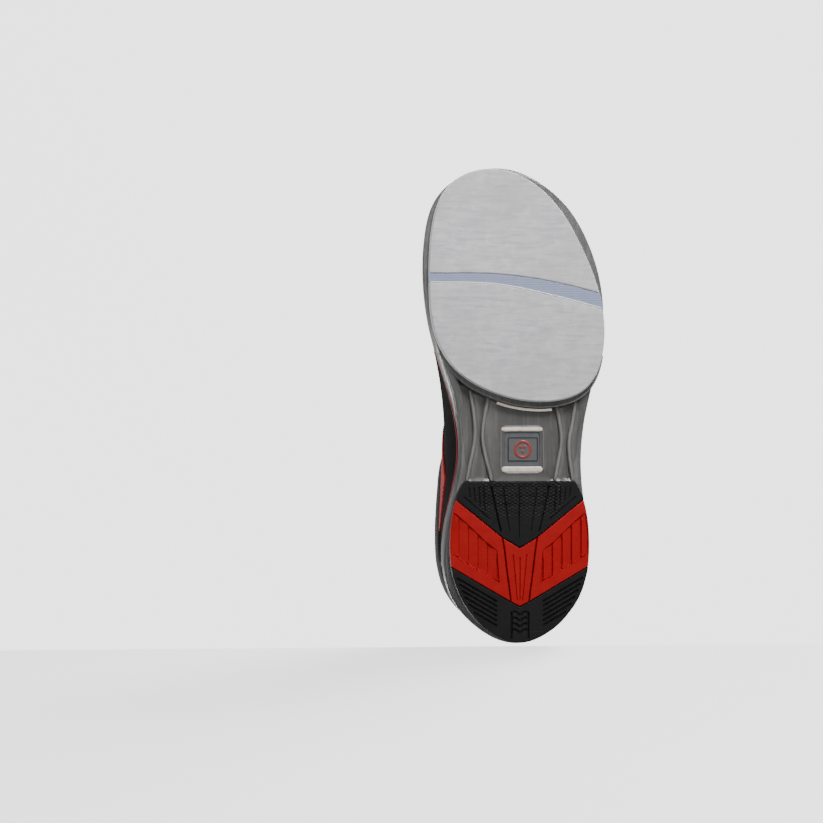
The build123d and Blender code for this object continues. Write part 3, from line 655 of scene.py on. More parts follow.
def build_pad():
    toe_area, rest = split_outline(PAD_OUTLINE, np.column_stack([BAND_X, BAND_FRONT(BAND_X)]))
    band, ball_area = split_outline(rest, np.column_stack([BAND_X, BAND_BACK(BAND_X)]))
    # the faces are inset 0.45 mm so that the bright foam core shows round them as a thin line of painted
    # highlight
    for name, outline, face, node, shape, roll, coat in (
            ("pad_face_toe", inset(toe_area, 0.45), 0.0, "pad_toe_face", pad_swell, 0.8, "microfibre"),
            ("pad_face_ball", inset(ball_area, 0.45), 0.0, "pad_face", pad_swell, 0.8, "microfibre"),
            ("pad_band", inset(band, -0.25), 0.75, "pad_flex_band", None, 0.3, "flex_strip")):
        obj = relief(name, outline, face, PAD_FACE, roll, bend=True, shape=shape, step=2.5)
        bends_with_pad(obj, node, coat=coat)
    x = np.linspace(-57.0, 54.3, 60)
    # a thin strip of the bright pad foam along the band's rear edge: a painted highlight where that edge
    # catches the light
    band_edge_highlight = ribbon_outline(np.column_stack([x, BAND_BACK(x) + 0.1]), 0.9)
    painted_highlight_bead = relief("pad_band_bead", band_edge_highlight, 0.2, PAD_FACE, 0.4, bend=True, step=0.8)
    bends_with_pad(painted_highlight_bead, coat="pad_foam")
    # the core's bright foam edge round the pad: partly the foam's own colour, partly painted highlight
    foam = relief("pad_foam_core", PAD_OUTLINE, 1.25, 4.0, 0.5, bend=True, step=3.5)
    bends_with_pad(foam, "pad_backing", "pad_toe_backing", coat="pad_foam")
    hooks = relief("pad_hooks", inset(PAD_OUTLINE, 2.5), 4.0, 4.95, 0.2, bend=True, step=3.5)
    bends_with_pad(hooks, "pad_hook_layer", "pad_toe_hook_layer", coat="hook_tape")


# ---------------------------------------------------------------- the peel-off heel
HEEL_X, HEEL_FRONT, HEEL_BACK = 1.0, 49.8, 154.2
HEEL_HALF = [(36, 49.8), (39.5, 56), (43, 66), (45.3, 82), (45.5, 95), (44.6, 106), (39.5, 122.5),
             (28, 139.8), (14.4, 150)]
FRONT_LINE = [(0, 92.6), (11, 86.1), (60, 46.5)]
REAR_LINE = [(0, 130.7), (6.8, 127.2), (60, 96)]
LONG_GROOVE = [(20.4, 46), (19.4, 50), (14.0, 75), (11.2, 87), (8.4, 108), (5.9, 128), (6, 160)]


def heel_outline():
    ring = [(-x, y) for x, y in HEEL_HALF] + [(0, HEEL_BACK)] + HEEL_HALF[::-1]
    around = spline_points([(HEEL_X + x, y) for x, y in ring], 1.6)
    front = [(HEEL_X + x, HEEL_FRONT) for x in np.linspace(36, -36, 37)[1:-1]]
    return np.concatenate([around, front])


def both_sides(half):
    """A line given from the heel's centre outwards, carried across to the other side."""
    return [(HEEL_X - x, y) for x, y in reversed(half)] + [(HEEL_X + x, y) for x, y in half[1:]]


def mirrored(outline):
    flipped = np.asarray(outline, float).copy()
    flipped[:, 0] = 2 * HEEL_X - flipped[:, 0]
    return flipped


def with_mirrored(cuts):
    """Cuts, then their mirror images."""
    return cuts + [(mirrored(outline), *rest) for outline, *rest in cuts]


def straight(a, b, step=2.0):
    count = max(2, int(math.dist(a, b) / step) + 1)
    return np.linspace(a, b, count)


def knurl(x, y):
    """Diamond cross-hatching that fades towards the back of the tread's front lug."""
    pitch = 1.9
    hatch = np.maximum(abs(np.sin(math.pi * (x * 0.5 + y * 0.87) / pitch)) ** 0.7,
                       abs(np.sin(math.pi * (x * 0.5 - y * 0.87) / pitch)) ** 0.7)
    return 1.15 * (1 - hatch) * np.clip((78 - y) / 14, 0, 1) * np.clip((30 - abs(x - HEEL_X)) / 6, 0, 1)


def louvres(inner, outer, count):
    """Depth of a window of sloping slats: each starts deep on its outer side and rises inwards."""
    def depth(x, y):
        share = (abs(x - HEEL_X) - inner) / (outer - inner) * count
        return 0.25 + 1.15 * np.clip(share - np.floor(share), 0, 1)
    return depth


def build_heel():
    whole = heel_outline()
    front, rest = split_outline(whole, np.array(both_sides(FRONT_LINE)))
    band, rear = split_outline(rest, np.array(both_sides(REAR_LINE)))
    groove = spline_points(LONG_GROOVE, 3.0)
    right_line, left_line = groove + (HEEL_X, 0), groove * (-1, 1) + (HEEL_X, 0)

    # front lug: knurled middle, fan of fine grooves, raised border along the red band
    cuts = []
    for line in (right_line, left_line):
        inner = line[(line[:, 1] > 51) & (line[:, 1] < 84)]
        cuts.append((ribbon_outline(inner, 1.3), 1.8, 0.3))
    for x0, y0, x1, y1 in ((-10, 54, -5.6, 82), (0.6, 53, 0.6, 86), (11.9, 54, 8.3, 82)):
        cuts.append((ribbon_outline(straight((x0, y0), (x1, y1)), 1.1, 0.35), 1.0, 0.17))
    border = ribbon_outline(straight((HEEL_X + 36.5, 59.5), (HEEL_X + 19.5, 74.0)), 0.8)
    fan = [(border, 0.7, 0.25)]
    for k, x in enumerate((23.4, 26.6, 29.8, 33.0)):
        line = straight((HEEL_X + x, 53.5), (HEEL_X + x - 0.8, 68.6 - 2.9 * k))
        fan.append((ribbon_outline(line, 0.9, 0.6), 0.8, 0.25))
    cuts += with_mirrored(fan)
    lug = relief("heel_lug_front", inset(front, 0.18), 0.0, HEEL_TREAD, 0.45, cuts, knurl, step=0.5)
    finish(lug, "slide_heel", "heel_tread_front", coat="black_rubber")

    # rear lug: slanting slots each side, chevrons down the middle
    cuts = []
    for line in (right_line, left_line):
        inner = line[(line[:, 1] > 131.5) & (line[:, 1] < 152)]
        cuts.append((ribbon_outline(inner, 1.3), 1.8, 0.3))
    slope = 31.2 / 53.2                 # that of REAR_LINE
    for k in range(6):
        y0 = 127.2 + 3.1 * k
        limit = 0
        for x in np.arange(15.0, 46.0, 0.5):
            if inside(np.array([[HEEL_X + x, y0 - slope * (x - 15)]]), inset(rear, 2.2))[0]:
                limit = x
        if limit > 19:
            line = straight((HEEL_X + 15.0, y0), (HEEL_X + limit, y0 - slope * (limit - 15)))
            cuts += with_mirrored([(ribbon_outline(line, 1.5), 1.3, 0.35)])
    for k in range(4):
        y0 = 135.2 + 3.8 * k
        chevron = [(HEEL_X - 4.6, y0 - 1.2), (HEEL_X - 2.3, y0 - 1.0), (HEEL_X, y0 + 0.6),
                   (HEEL_X + 2.3, y0 - 1.0), (HEEL_X + 4.6, y0 - 1.2)]
        cuts.append((ribbon_outline(spline_points(chevron, 0.8), 1.5), 1.0, 0.4))
    lug = relief("heel_lug_rear", inset(rear, 0.18), 0.0, HEEL_TREAD, 0.45, cuts, step=2.0)
    finish(lug, "slide_heel", "heel_tread_rear", coat="black_rubber")

    # red band: a fluted centre and two louvred sides
    not_left = split_sideways(band, left_line)
    middle, right = split_sideways(not_left[1], right_line)
    left = not_left[0]
    cuts = []
    for x0, x1 in ((-4.4, -1.7), (0.0, 0.0), (4.4, 1.7)):
        start = 97.0 + (0 if x0 else 1.6)
        fine = straight((HEEL_X + x0, start), (HEEL_X + x1, 126.5))
        cuts.append((ribbon_outline(fine, 0.8, 0.45), 0.8, 0.2))
    lug = relief("heel_lug_red_centre", inset(middle, 0.35), 0.0, HEEL_TREAD, 0.5, cuts, step=2.0)
    finish(lug, "slide_heel", "heel_tread_red_center", coat="red_rubber")
    window = np.array([(14.8, 94.2), (22.5, 88.2), (28.5, 82.3), (35.0, 76.2), (41.2, 70.8), (44.2, 69.6),
                       (45.2, 83), (45.2, 96.8), (35.0, 102.8), (28.5, 106.6), (21.5, 110.7),
                       (13.2, 115.2)])
    for name, node, area, flip in (("heel_lug_red_outer", "heel_tread_red_lateral", right, False),
                                   ("heel_lug_red_inner", "heel_tread_red_medial", left, True)):
        shape = window + (HEEL_X, 0)
        shape = mirrored(shape) if flip else shape
        shape = clipped_to(shape, inset(area, 0.9))
        steps = []
        for x in (15.0, 21.2, 27.4, 33.6, 39.8):
            for side_step in (-0.1, 0.1):
                line = straight((HEEL_X + x + side_step, 66), (HEEL_X + x + side_step, 118), 1.5)
                line = mirrored(line) if flip else line
                steps.append(line[inside(line, inset(shape, 0.3))])
        steps = [s for s in steps if len(s) > 1]
        cuts = [(shape, louvres(15.0, 46.0, 5), 0.3)]
        for slat in steps[::2]:
            if len(slat) > 6:
                cuts.append((ribbon_outline(slat[1:-1], 0.9), 1.75, 0.2))
        lug = relief(name, inset(area, 0.35), 0.0, HEEL_TREAD, 0.5, cuts, step=1.6, lines=steps)
        finish(lug, "slide_heel", node, coat="red_rubber")

    base = stacked("heel_body", [(inset(whole, d), z) for d, z in
                   ((0.9, 3.35), (0.35, 3.6), (0.1, 4.2), (0.0, 5.4), (0.1, 6.6), (0.4, 7.4), (0.9, 7.95))])
    finish(base, "slide_heel", "heel_base", coat="black_rubber")
    hooks = stacked("heel_hooks", [(inset(whole, 2.5), z) for z in (8.0, 8.95)])
    finish(hooks, "slide_heel", "heel_hook_layer", coat="hook_tape")


def split_sideways(outline, cut):
    """As split_outline, for a line that runs along the shoe: the part at lower x comes first."""
    one, two = split_outline(outline, cut)
    return (one, two) if one[:, 0].mean() < two[:, 0].mean() else (two, one)


def clipped_to(outline, limit):
    """Moves an outline's points that lie outside a limit to the nearest place on it."""
    moved = np.asarray(outline, float).copy()
    out = ~inside(moved, limit)
    for k in np.nonzero(out)[0]:
        a, b = limit, np.roll(limit, -1, 0)
        d = b - a
        s = np.clip(np.sum((moved[k] - a) * d, 1) / np.maximum(np.sum(d * d, 1), 1e-12), 0, 1)[:, None]
        near = a + s * d
        moved[k] = near[np.argmin(np.linalg.norm(near - moved[k], axis=1))]
    return moved


# ---------------------------------------------------------------- the clear sole
LIP = 3.7
BADGE_MID, BADGE_MARK = (3.7, 29.6), (4.2, 29.4)
RIBS = (((-18, -6), (-21.4, 11), (-22, 24), (-19.4, 37), (-16.2, 50)),
        ((-30.5, -9), (-27.4, 11), (-27.4, 24), (-30, 37), (-32.5, 50)),
        ((25.5, -1), (28.7, 14.8), (29.4, 24), (27.4, 37), (25, 50)),
        ((39, -4), (36, 14.8), (34.5, 24), (35, 37), (37, 50)))


def lip_line():
    """Rear edge of the clear rim behind the slide pad, from the inner side to the outer."""
    back = PAD_OUTLINE[PAD_OUTLINE[:, 1] > -36]
    back = back[np.argsort(back[:, 0])]
    return np.column_stack([back[:, 0], back[:, 1] + LIP])


def rounded_box(middle, size, radius):
    """Closed outline of a rectangle with round corners."""
    made = []
    for k, (sx, sy) in enumerate(((1, 1), (-1, 1), (-1, -1), (1, -1))):
        cx, cy = middle[0] + sx * (size[0] / 2 - radius), middle[1] + sy * (size[1] / 2 - radius)
        for a in np.linspace(k * math.pi / 2, (k + 1) * math.pi / 2, 6):
            made.append((cx + radius * math.cos(a), cy + radius * math.sin(a)))
    return np.array(made)


def round_shoe(start, count):
    """(side, t) down the outer side from the toe to the heel, then back up the inner one."""
    down = np.linspace(start, math.pi - start, count)
    return ((1, down), (-1, down[::-1] if start else down[::-1][1:-1]))


def sole_outline(gap):
    """Outline of the sole's underside, gap mm outside the upper."""
    return np.concatenate([skin(t, level(t, side, UNDERSIDE), np.full(len(t), gap))[:, :2]
                           for side, t in round_shoe(0.03, 150)])


def build_sole():
    lip = lip_line()
    ribs = [spline_points(r, 2.0) for r in RIBS]

    def underside(x, y):
        """Height of the clear sole's underside: forefoot, step behind the lip, ribbed waist, heel seat."""
        edge = np.interp(x, lip[:, 0], lip[:, 1], left=lip[0, 1] - 4, right=lip[-1, 1] - 4)
        behind = np.clip((y - edge) / 2.2 + 0.3, 0, 1)
        step = behind * behind * (3 - 2 * behind)
        waist = SHANK_UNDER + 0.5 * np.clip((abs(x - 3) - 16) / 10, 0, 1)
        z = PAD_THICK + (waist - PAD_THICK) * step
        flat = np.column_stack([x, y])
        for rib in ribs:
            z = z + 0.7 * step * np.clip(1 - distance_to(flat, rib, closed=False) / 3.4, 0, 1)
        return np.where(y > HEEL_FRONT, HEEL_THICK + 0.1, z)

    guides = [lip + (0, d) for d in (-0.6, 0, 0.5, 1.0, 1.5)]
    guides += [inset_line(rib, d) for rib in ribs for d in (-3.4, -1.7, 0, 1.7, 3.4)]
    window = rounded_box(BADGE_MID, (23.0, 23.5), 2.5)
    outline = sole_outline(1.7)
    plate = relief("clear_sole_plate", outline, underside, lambda x, y: SOLE_TOP(y) + 0.0 * x, 0.8,
                   [(window, 0.9, 0.5)], step=2.2, bend=True, lines=guides, smooth=50)
    bends_with_toe(plate, "outsole", "toe_outsole", "outsole_flex_zone", coat="clear_tpu")

    # the ribs use a lighter copy of the clear TPU: a painted highlight on the ridges
    for k, rib in enumerate(ribs):
        behind_lip = rib[:, 1] > np.interp(rib[:, 0], lip[:, 0], lip[:, 1]) - 1.2
        rib = rib[behind_lip & (rib[:, 1] < HEEL_FRONT + 0.8)]
        raised = relief(f"clear_rib_painted_highlight_{k}", ribbon_outline(rib, 2.3), 8.6, 11.2, 1.1, step=0.9, smooth=70)
        finish(raised, "shoe", coat="clear_rib_painted_highlight")

    # the wall round the upper, one closed ring: (height, lift) down the outside and back up inside
    sections = []
    for side, t in round_shoe(0, 170):
        top, low = rim(side)(y_of(t)), UNDERSIDE(y_of(t))
        profile = [(top + z, lift) for z, lift in
                   ((-0.3, 0.12), (0, 0.5), (0.15, 1.2), (-0.15, 2.0), (-0.9, 2.45), (-1.8, 2.6),
                    (-2.3, 2.3),
                    (-2.8, 2.6))]
        profile += [(low + (top - low) * share, 2.8) for share in (0.6, 0.4)]
        profile += [(low + z, lift) for z, lift in
                    ((2.2, 2.7), (1.9, 2.4), (1.5, 2.65), (0.8, 2.5), (0.15, 1.9), (0, 1.0), (-0.03, -1.5),
                     (0.2, -2.6), (2.0, -1.5))]
        sections.append(np.stack([at_height(t, side, z, lift) for z, lift in profile], 1))
    wall = tube("clear_sole_wall", np.concatenate(sections), closed=True, smooth=50)
    # the wall's clear TPU is a lighter copy of the plate's: painted light on the wall and over the shaded
    # groove beside the pad
    bends_with_toe(wall, coat="clear_wall_painted_light")
    build_badge()
    # a lighter clear bead along the lip: a painted highlight on the lip's edge
    painted_highlight_bead = relief("clear_lip", ribbon_outline(lip - (0, 0.5), 1.3), 4.75, 9.0, 0.6, step=0.9, smooth=60)
    finish(painted_highlight_bead, "shoe", coat="clear_rib_painted_highlight")
    # a cream strip on the step behind the lip: a painted highlight on the clear step
    strip = lip[(lip[:, 0] > -14) & (lip[:, 0] < 23)] + (0, 1.5)
    line = relief("lip_painted_highlight", ribbon_outline(strip, 1.9), 6.0, 8.6, 0.5, step=0.8)
    finish(line, "shoe", slot="clear_tpu", coat="bright_bar")
    loops = relief("loops_forefoot", inset(PAD_OUTLINE, 3.1), 5.02, 5.75, 0.1, bend=True, step=3.5)
    bends_with_toe(loops, "forefoot_loop_panel", "toe_loop_panel", coat="loops")
    loops = stacked("loops_heel", [(inset(heel_outline(), 3.1), z) for z in (9.02, 9.75)])
    finish(loops, "shoe", "heel_loop_panel", coat="loops")


def build_badge():
    """Badge in the waist: a plain ring with three dots in a square outline, and a cream bar front and back
    that is a painted highlight on the badge's raised edges; its rim has the lighter clear look, a painted
    highlight too.
    """
    def frame_at(width, deep, radius, z):
        return rounded_box(BADGE_MID, (width, deep), radius), z

    def box_at(width, deep, radius, z):
        return rounded_box(BADGE_MARK, (width, deep), radius), z

    def disc_at(radius, z, x=0.0, y=0.0):
        return circle * radius + (BADGE_MARK[0] + x, BADGE_MARK[1] + y), z

    around = np.linspace(0, 2 * math.pi, 40, endpoint=False)
    circle = np.column_stack([np.cos(around), np.sin(around)])
    outer, inner = (19.6, 15.6, 0.8), (18.4, 14.4, 0.5)
    rim_levels = [frame_at(28.4, 31.0, 4.4, 10.0), frame_at(28.4, 31.0, 4.4, 9.5),
                  frame_at(27.6, 30.2, 4.0, 9.35),
                  frame_at(26.9, 29.5, 3.7, 9.5), frame_at(26.9, 29.5, 3.7, 10.9)]
    ring_levels = [disc_at(5.9, 10.34), disc_at(5.9, 10.1), disc_at(5.6, 9.95), disc_at(4.6, 9.95),
                   disc_at(4.3, 10.1), disc_at(4.3, 10.34)]
    pieces = [
        (stacked_ring("badge_rim", rim_levels), ("badge_frame",), "badge_plastic", "clear_rib_painted_highlight"),
        (stacked("badge_field", [frame_at(26.8, 29.4, 3.7, z) for z in (10.5, 10.85)]), ("badge_inlay",),
         "badge_print", "badge_field"),
        (stacked_ring("badge_outline", [box_at(*outer, 10.49), box_at(*outer, 10.2), box_at(*inner, 10.2),
                                        box_at(*inner, 10.49)]), (), "badge_plastic", "black_rubber"),
        (stacked("badge_tile", [box_at(18.3, 14.3, 0.5, z) for z in (10.35, 10.49)]), (), "badge_print",
         "badge_plastic"),
        (stacked_ring("badge_ring", ring_levels), (), "badge_print", "badge_red")]
    for k, (x, y) in enumerate(((-1.3, -1.6), (1.3, -1.6), (0.0, 1.4))):
        levels = [disc_at(r, z, x, y) for r, z in ((0.75, 9.98), (0.95, 10.1), (0.95, 10.34))]
        dot = stacked(f"badge_dot_{k}", levels)
        pieces.append((dot, (), "badge_print", "badge_red"))
    # cream bars before and behind the badge: painted highlights on its raised edges
    for name, y, deep in (("badge_highlight_bar_front", 16.4, 2.9), ("badge_highlight_bar_back", 42.4, 4.0)):
        bar = relief(name, rounded_box((3.6, y), (27.0, deep), deep / 2 - 0.05), 8.95, 10.3, 1.0, step=0.9)
        pieces.append((bar, (), "badge_plastic", "bright_bar"))
    for piece, nodes, slot, coat in pieces:
        finish(piece, "shoe", *nodes, slot=slot, coat=coat)


def inset_line(line, offset):
    """A line moved sideways."""
    return line + sideways(line) * offset


def stacked_ring(name, rings):
    """Closed ring whose cross-section goes through the outlines given, in order."""
    sections = np.stack([at(*ring) for ring in rings], 1)
    return tube(name, sections, sections, closed=True, smooth=35)


def sole_layer(name, gap, low, high, cup=0.0):
    """Layer inside the shoe between two heights that are functions of y, its rim turned up by cup mm."""
    t = np.concatenate([[0.06, 0.10, 0.16], np.linspace(0.22, math.pi - 0.22, 90),
                        math.pi - np.array([0.16, 0.10, 0.06])])
    y = MID_Y - (HALF_Y - gap) * np.cos(t)
    s = np.sin(np.linspace(-math.pi / 2, math.pi / 2, 27))
    ends = []
    for side in (-1, 1):
        p = skin(t, level(t, side, lambda v: (low(v) + high(v)) / 2))
        ends.append(p[:, 0] - side * np.minimum(gap, 0.8 * abs(p[:, 0] - RIDGE(y_of(t)))))
    x = ends[0][:, None] + (ends[1] - ends[0])[:, None] * (s[None] + 1) / 2
    y = np.repeat(y[:, None], len(s), 1)
    param = y_of(t)[:, None]
    edge = np.abs(s[None]) ** 6 * cup
    top = np.stack([x, y, high(param) + rise(param) + edge], 2)
    top[[0, -1], :, 2] -= 0.4
    bottom = np.stack([x, y, low(param) + rise(param) + 0 * x], 2)
    return slab(name, top, bottom, np.stack([x, y, 0 * x], 2))


def build_insides():
    """Foam midsole, fibre board and footbed, raised at the toe by the toe spring."""
    midsole = sole_layer("midsole_foam", 0.25, lambda y: SOLE_TOP(y) + 0.2, lambda y: FEATHER(y) - 0.2)
    bends_with_toe(midsole, "midsole", "toe_midsole", coat="eva_foam")
    board = sole_layer("fibre_board", 6.6, lambda y: FEATHER(y), lambda y: FEATHER(y) + 1.8)
    bends_with_toe(board, "insole_board", "toe_insole_board", "insole_flex_zone", coat="fibreboard")
    bed = sole_layer("footbed_pad", 6.7, lambda y: FEATHER(y) + 2.0, lambda y: FEATHER(y) + 6.0, cup=3.2)
    bends_with_toe(bed, "footbed", "toe_footbed", coat="footbed")


# ---------------------------------------------------------------- the upper
def rim(side):
    """Height of the clear wall's top, lower at the inner side of the waist."""
    return RIM if side > 0 else RIM_INNER


def at_height(t, side, z, lift):
    """Points lift mm outside the upper at height z, straight above its edge where it is lower than that."""
    wanted = z + rise(y_of(t))
    f = crossing(t, side, 2, wanted)
    points = skin(t, f, np.full(len(t), lift))
    points[:, 2] += np.maximum(wanted - skin(t, f)[:, 2], 0)
    return points


def buried(side):
    """The f just below the top of the clear wall, above the clear plate."""
    return lambda t: level(t, side, lambda y: np.maximum(rim(side)(y) - 7, UNDERSIDE(y) + 3))


def build_shell():
    """Skin, padding and lining: a forefoot part and two halves behind it."""
    split = float(turn(-62))
    layers = (("skin", 0.0, 1.5, "mesh",
               (("toe_vamp", "vamp_flex_zone"), ("lateral_quarter",), ("medial_quarter", "vamp"))),
              ("padding", -1.7, 3.2, "padding",
               (("toe_vamp_padding", "vamp_padding_flex_zone"), ("quarter_padding",), ())),
              ("lining", -5.1, 1.0, "lining", (("toe_lining", "lining_flex_zone"), ("lining",), ())))
    for kind, lift, deep, coat, nodes in layers:
        t, f = across_grid(0.02, split, buried(-1), buried(1), 92, 130, step=2.2, edges=NO_EDGES)
        obj = panel(f"forefoot_{kind}", t, f, lift - 0.01, 0.01, edges=NO_EDGES, sink=deep)
        bends_with_toe(obj, *nodes[0], coat=coat)
        for side, word, own in ((1, "outer", nodes[1]), (-1, "inner", nodes[2])):
            t, f = across_grid(split, math.pi - 0.002, lambda a: opening_edge(a, side), buried(side), 215,
                               95,
                               step=2.6, edges=NO_EDGES)
            obj = panel(f"{word}_{kind}", t, f, lift - 0.01, 0.01, edges=NO_EDGES, sink=deep)
            bends_with_toe(obj, *own, coat=coat)


STITCH_PITCH, STITCH_LONG, STITCH_RADIUS = 3.2, 2.1, 0.42


def stitches(name, t, f, lift, coat, body="shoe"):
    """A row of sewn stitches along a path (t, f) on the upper; body "bend" is across the flex line."""
    p = skin(t, f, np.full(len(t), lift))
    along = lengths(p)
    normal = lookup(SKIN_NORMALS, t, f)
    verts, faces = [], []
    ring = np.linspace(0, 2 * math.pi, 6, endpoint=False)
    for k in range(int(along[-1] / STITCH_PITCH)):
        s = (k + 0.5) * STITCH_PITCH
        a, b = (np.array([np.interp(s + d, along, p[:, c]) for c in range(3)])
                for d in (-STITCH_LONG / 2, STITCH_LONG / 2))
        n = np.array([np.interp(s, along, normal[:, c]) for c in range(3)])
        w = np.cross(unit(b - a), n)
        start = len(verts)
        for share, fat in ((0.0, 0.35), (0.15, 0.8), (0.5, 1.0), (0.85, 0.8), (1.0, 0.35)):
            middle = a + (b - a) * share - n * (0.5 * (2 * share - 1) ** 2) * STITCH_RADIUS
            for c in ring:
                verts.append(middle + STITCH_RADIUS * fat * (math.cos(c) * w + math.sin(c) * n * 0.8))
        for i in range(4):
            for j in range(6):
                q, r = start + i * 6 + j, start + i * 6 + (j + 1) % 6
                faces.append((q, r, r + 6, q + 6))
        faces.append(tuple(start + j for j in reversed(range(6))))
        faces.append(tuple(start + 24 + j for j in range(6)))
    obj = new_object(name, verts, faces)
    if body == "bend":
        return bends_with_toe(obj, coat=coat)
    return finish(obj, body, coat=coat)


STAY_OUT = {1: smooth_through((-74, -4), (-68, 13), (-46, 24), (-10, 30), (22, 33), (30, 33)),
            -1: smooth_through((-74, -4), (-68, -21), (-46, -31), (-10, -35), (22, -37), (30, -37))}


def build_panels():
    """Panels sewn over the skin, with their stitching."""
    # toe cap: a low guard round the toe
    back = lambda v: turn(-119 + 7 * np.abs(2 * v - 1) ** 1.5)
    t, f = patch_grid(lambda v: 0.02 + 0 * v, back, buried(-1), buried(1), 45, 130, edges=(0, 1, 0, 0))
    cap = panel("toe_guard", t, f, 0.05, 1.2, edges=(0, 1, 0, 0))
    finish(cap, "toe", "toe_cap", coat="leather")
    stitches("toe_guard_stitches", t[-8, 4:-4], f[-8, 4:-4], 1.25, "thread", body="toe")
    # eyestays
    for side, word, node in ((1, "outer", "lateral_eyestay"), (-1, "inner", "medial_eyestay")):
        t, f = across_grid(float(turn(-73.5)), float(turn(27)), lambda a: opening_edge(a, side),
                           lambda a: crossing(a, side, 0, STAY_OUT[side](y_of(a))), 112, 15, step=1.6)
        stay = panel(f"{word}_eyestay_panel", t, f, 1.05, 1.1, sink=1.1, swell=0.5)
        bends_with_toe(stay, node, coat="leather")
        for k, col in enumerate((5, -6)):
            stitches(f"{word}_eyestay_stitches_{k}", t[8:-6, col], f[8:-6, col], 2.25, "thread", "bend")
    # quarters, in front of the heel
    for side, word, node in ((1, "outer", "lateral"), (-1, "inner", "medial")):
        top = lambda a: side * np.maximum(side * opening_edge(a, side), 0.06)
        t, f = patch_grid(lambda v: turn(-33 - 14 * v), lambda v: turn(135 + 0 * v), top, buried(side),
                          160, 90, step=2.4, edges=(1, 0, 0, 0))
        quarter = panel(f"{word}_quarter_panel", t, f, 0.05, 1.0, edges=(1, 0, 0, 0), sink=0.04)
        bends_with_toe(quarter, coat="quarter")
        stitches(f"{word}_quarter_stitches", t[8, 8:-6], f[8, 8:-6], 1.1, "thread", body="bend")
        # pointed red panel over the back of the quarter
        t, f = drawn_grid(side, [(48, 37), (27, 55), (11, 73), (4, 93)],
                          [(49, 37), (60, 41), (74, 46), (87, 52)], 60, 60, step=2.0)
        accent = panel(f"{word}_red_panel", t, f, 1.05, 1.1, sink=0.9, swell=0.4)
        finish(accent, "shoe", f"{node}_accent", coat="red_leather")
        for place, row in (("front", 6), ("back", -7)):
            stitches(f"{word}_red_stitches_{place}", t[row, 10:-4], f[row, 10:-4], 2.2, "red_thread")
    # heel cup round the back
    grids = []
    for side in (1, -1):
        front = lambda v: turn(115 + 22 * (1 - v) ** 1.4)
        low = lambda a: side * np.maximum(side * level(a, side, lambda y: TOPLINE(y) - 4), 0.004)
        grids.append(patch_grid(front, lambda v: math.pi + 0 * v, low, buried(side), 60, 70,
                                edges=(1, 0, 1, 0)))
    t, f = wrap_round(grids)
    cup = panel("heel_cup_panel", t, f, 1.05, 1.2, edges=(1, 1, 1, 0), sink=0.9)
    finish(cup, "shoe", "heel_cup", coat="leather")
    for word, row in (("outer", 6), ("inner", -7)):
        stitches(f"heel_cup_stitches_{word}", t[row, 8:-4], f[row, 8:-4], 2.35, "red_thread")


def build_piping():
    """Red piping along the top of the clear wall."""
    sections = []
    ring = np.linspace(0, 2 * math.pi, 10, endpoint=False)
    for side, ts in round_shoe(0, 260):
        high = rim(side)(y_of(ts)) + 1.0
        middle = at_height(ts, side, high, 1.15)
        normal = lookup(SKIN_NORMALS, ts, crossing(ts, side, 2, high + rise(y_of(ts))))
        up = unit((0, 0, 1) - normal[:, 2:] * normal)
        sections.append(middle[:, None] + 1.15 * (np.cos(ring)[None, :, None] * normal[:, None]
                                                  + np.sin(ring)[None, :, None] * up[:, None]))
    piping = tube("red_piping", np.concatenate(sections), closed=True)
    bends_with_toe(piping, "sole_piping", "toe_piping", "piping_flex_zone", coat="piping")


COLLAR_PROFILE = [(21, -0.4), (21, 0.9), (18.5, 2.3), (14, 3.4), (9, 3.7), (4, 2.9), (0.5, 1.2),
                  (-1.8, -1.4),
                  (-2.4, -4.2), (-1.4, -7.0), (1.4, -9.2), (6, -10.6), (12, -11.0), (19, -10.2), (25, -8.6),
                  (29, -7.0), (29.5, -6.3), (20, -5.6), (10, -5.2), (10, -1.0), (16, -0.7)]
ANKLE_Y = 95.0                          # the middle of the opening, which the collar is laid out round
HEIGHTS = np.arange(30.0, 140.0, 0.5)


def width_table():
    """Half widths of the upper, by side, row and height; 0 above its top."""
    table = {}
    for side in (1, -1):
        cols = HALF_COLS + side * np.arange(HALF_COLS + 1)
        rows = []
        for row in range(ROWS):
            z, x = SKIN_POINTS[row, cols, 2][::-1], SKIN_POINTS[row, cols, 0][::-1] * side
            rows.append(np.where(HEIGHTS > z[-1], 0.0, np.interp(HEIGHTS, z, x)))
        table[side] = np.array(rows)
    return table


WIDTHS = width_table()


def round_ankle(angle, z):
    """Point of the upper's surface at a height, in a direction round the ankle: 0 at the back, + outwards."""
    angle, z = np.broadcast_arrays(np.asarray(angle, float), np.asarray(z, float))
    near, far = np.zeros(angle.shape), np.full(angle.shape, 110.0)
    j = np.clip((z - HEIGHTS[0]) / 0.5, 0, len(HEIGHTS) - 1.001)
    jj, b = j.astype(int), j - j.astype(int)
    for _ in range(26):
        r = (near + far) / 2
        i = np.clip(turn(ANKLE_Y + r * np.cos(angle)) / math.pi * (ROWS - 1), 0, ROWS - 1.001)
        ii, a = i.astype(int), i - i.astype(int)
        wide = 0.0
        for side in (1, -1):
            w = WIDTHS[side]
            found = ((w[ii, jj] * (1 - b) + w[ii, jj + 1] * b) * (1 - a)
                     + (w[ii + 1, jj] * (1 - b) + w[ii + 1, jj + 1] * b) * a)
            wide = np.where(np.sign(angle + 1e-9) == side, found, wide)
        out = (r * abs(np.sin(angle)) > wide) | (ANKLE_Y + r * np.cos(angle) > HEEL_Y) | (wide <= 0)
        near, far = np.where(out, near, r), np.where(out, r, far)
    return np.stack([near * np.sin(angle), ANKLE_Y + near * np.cos(angle), z], -1)


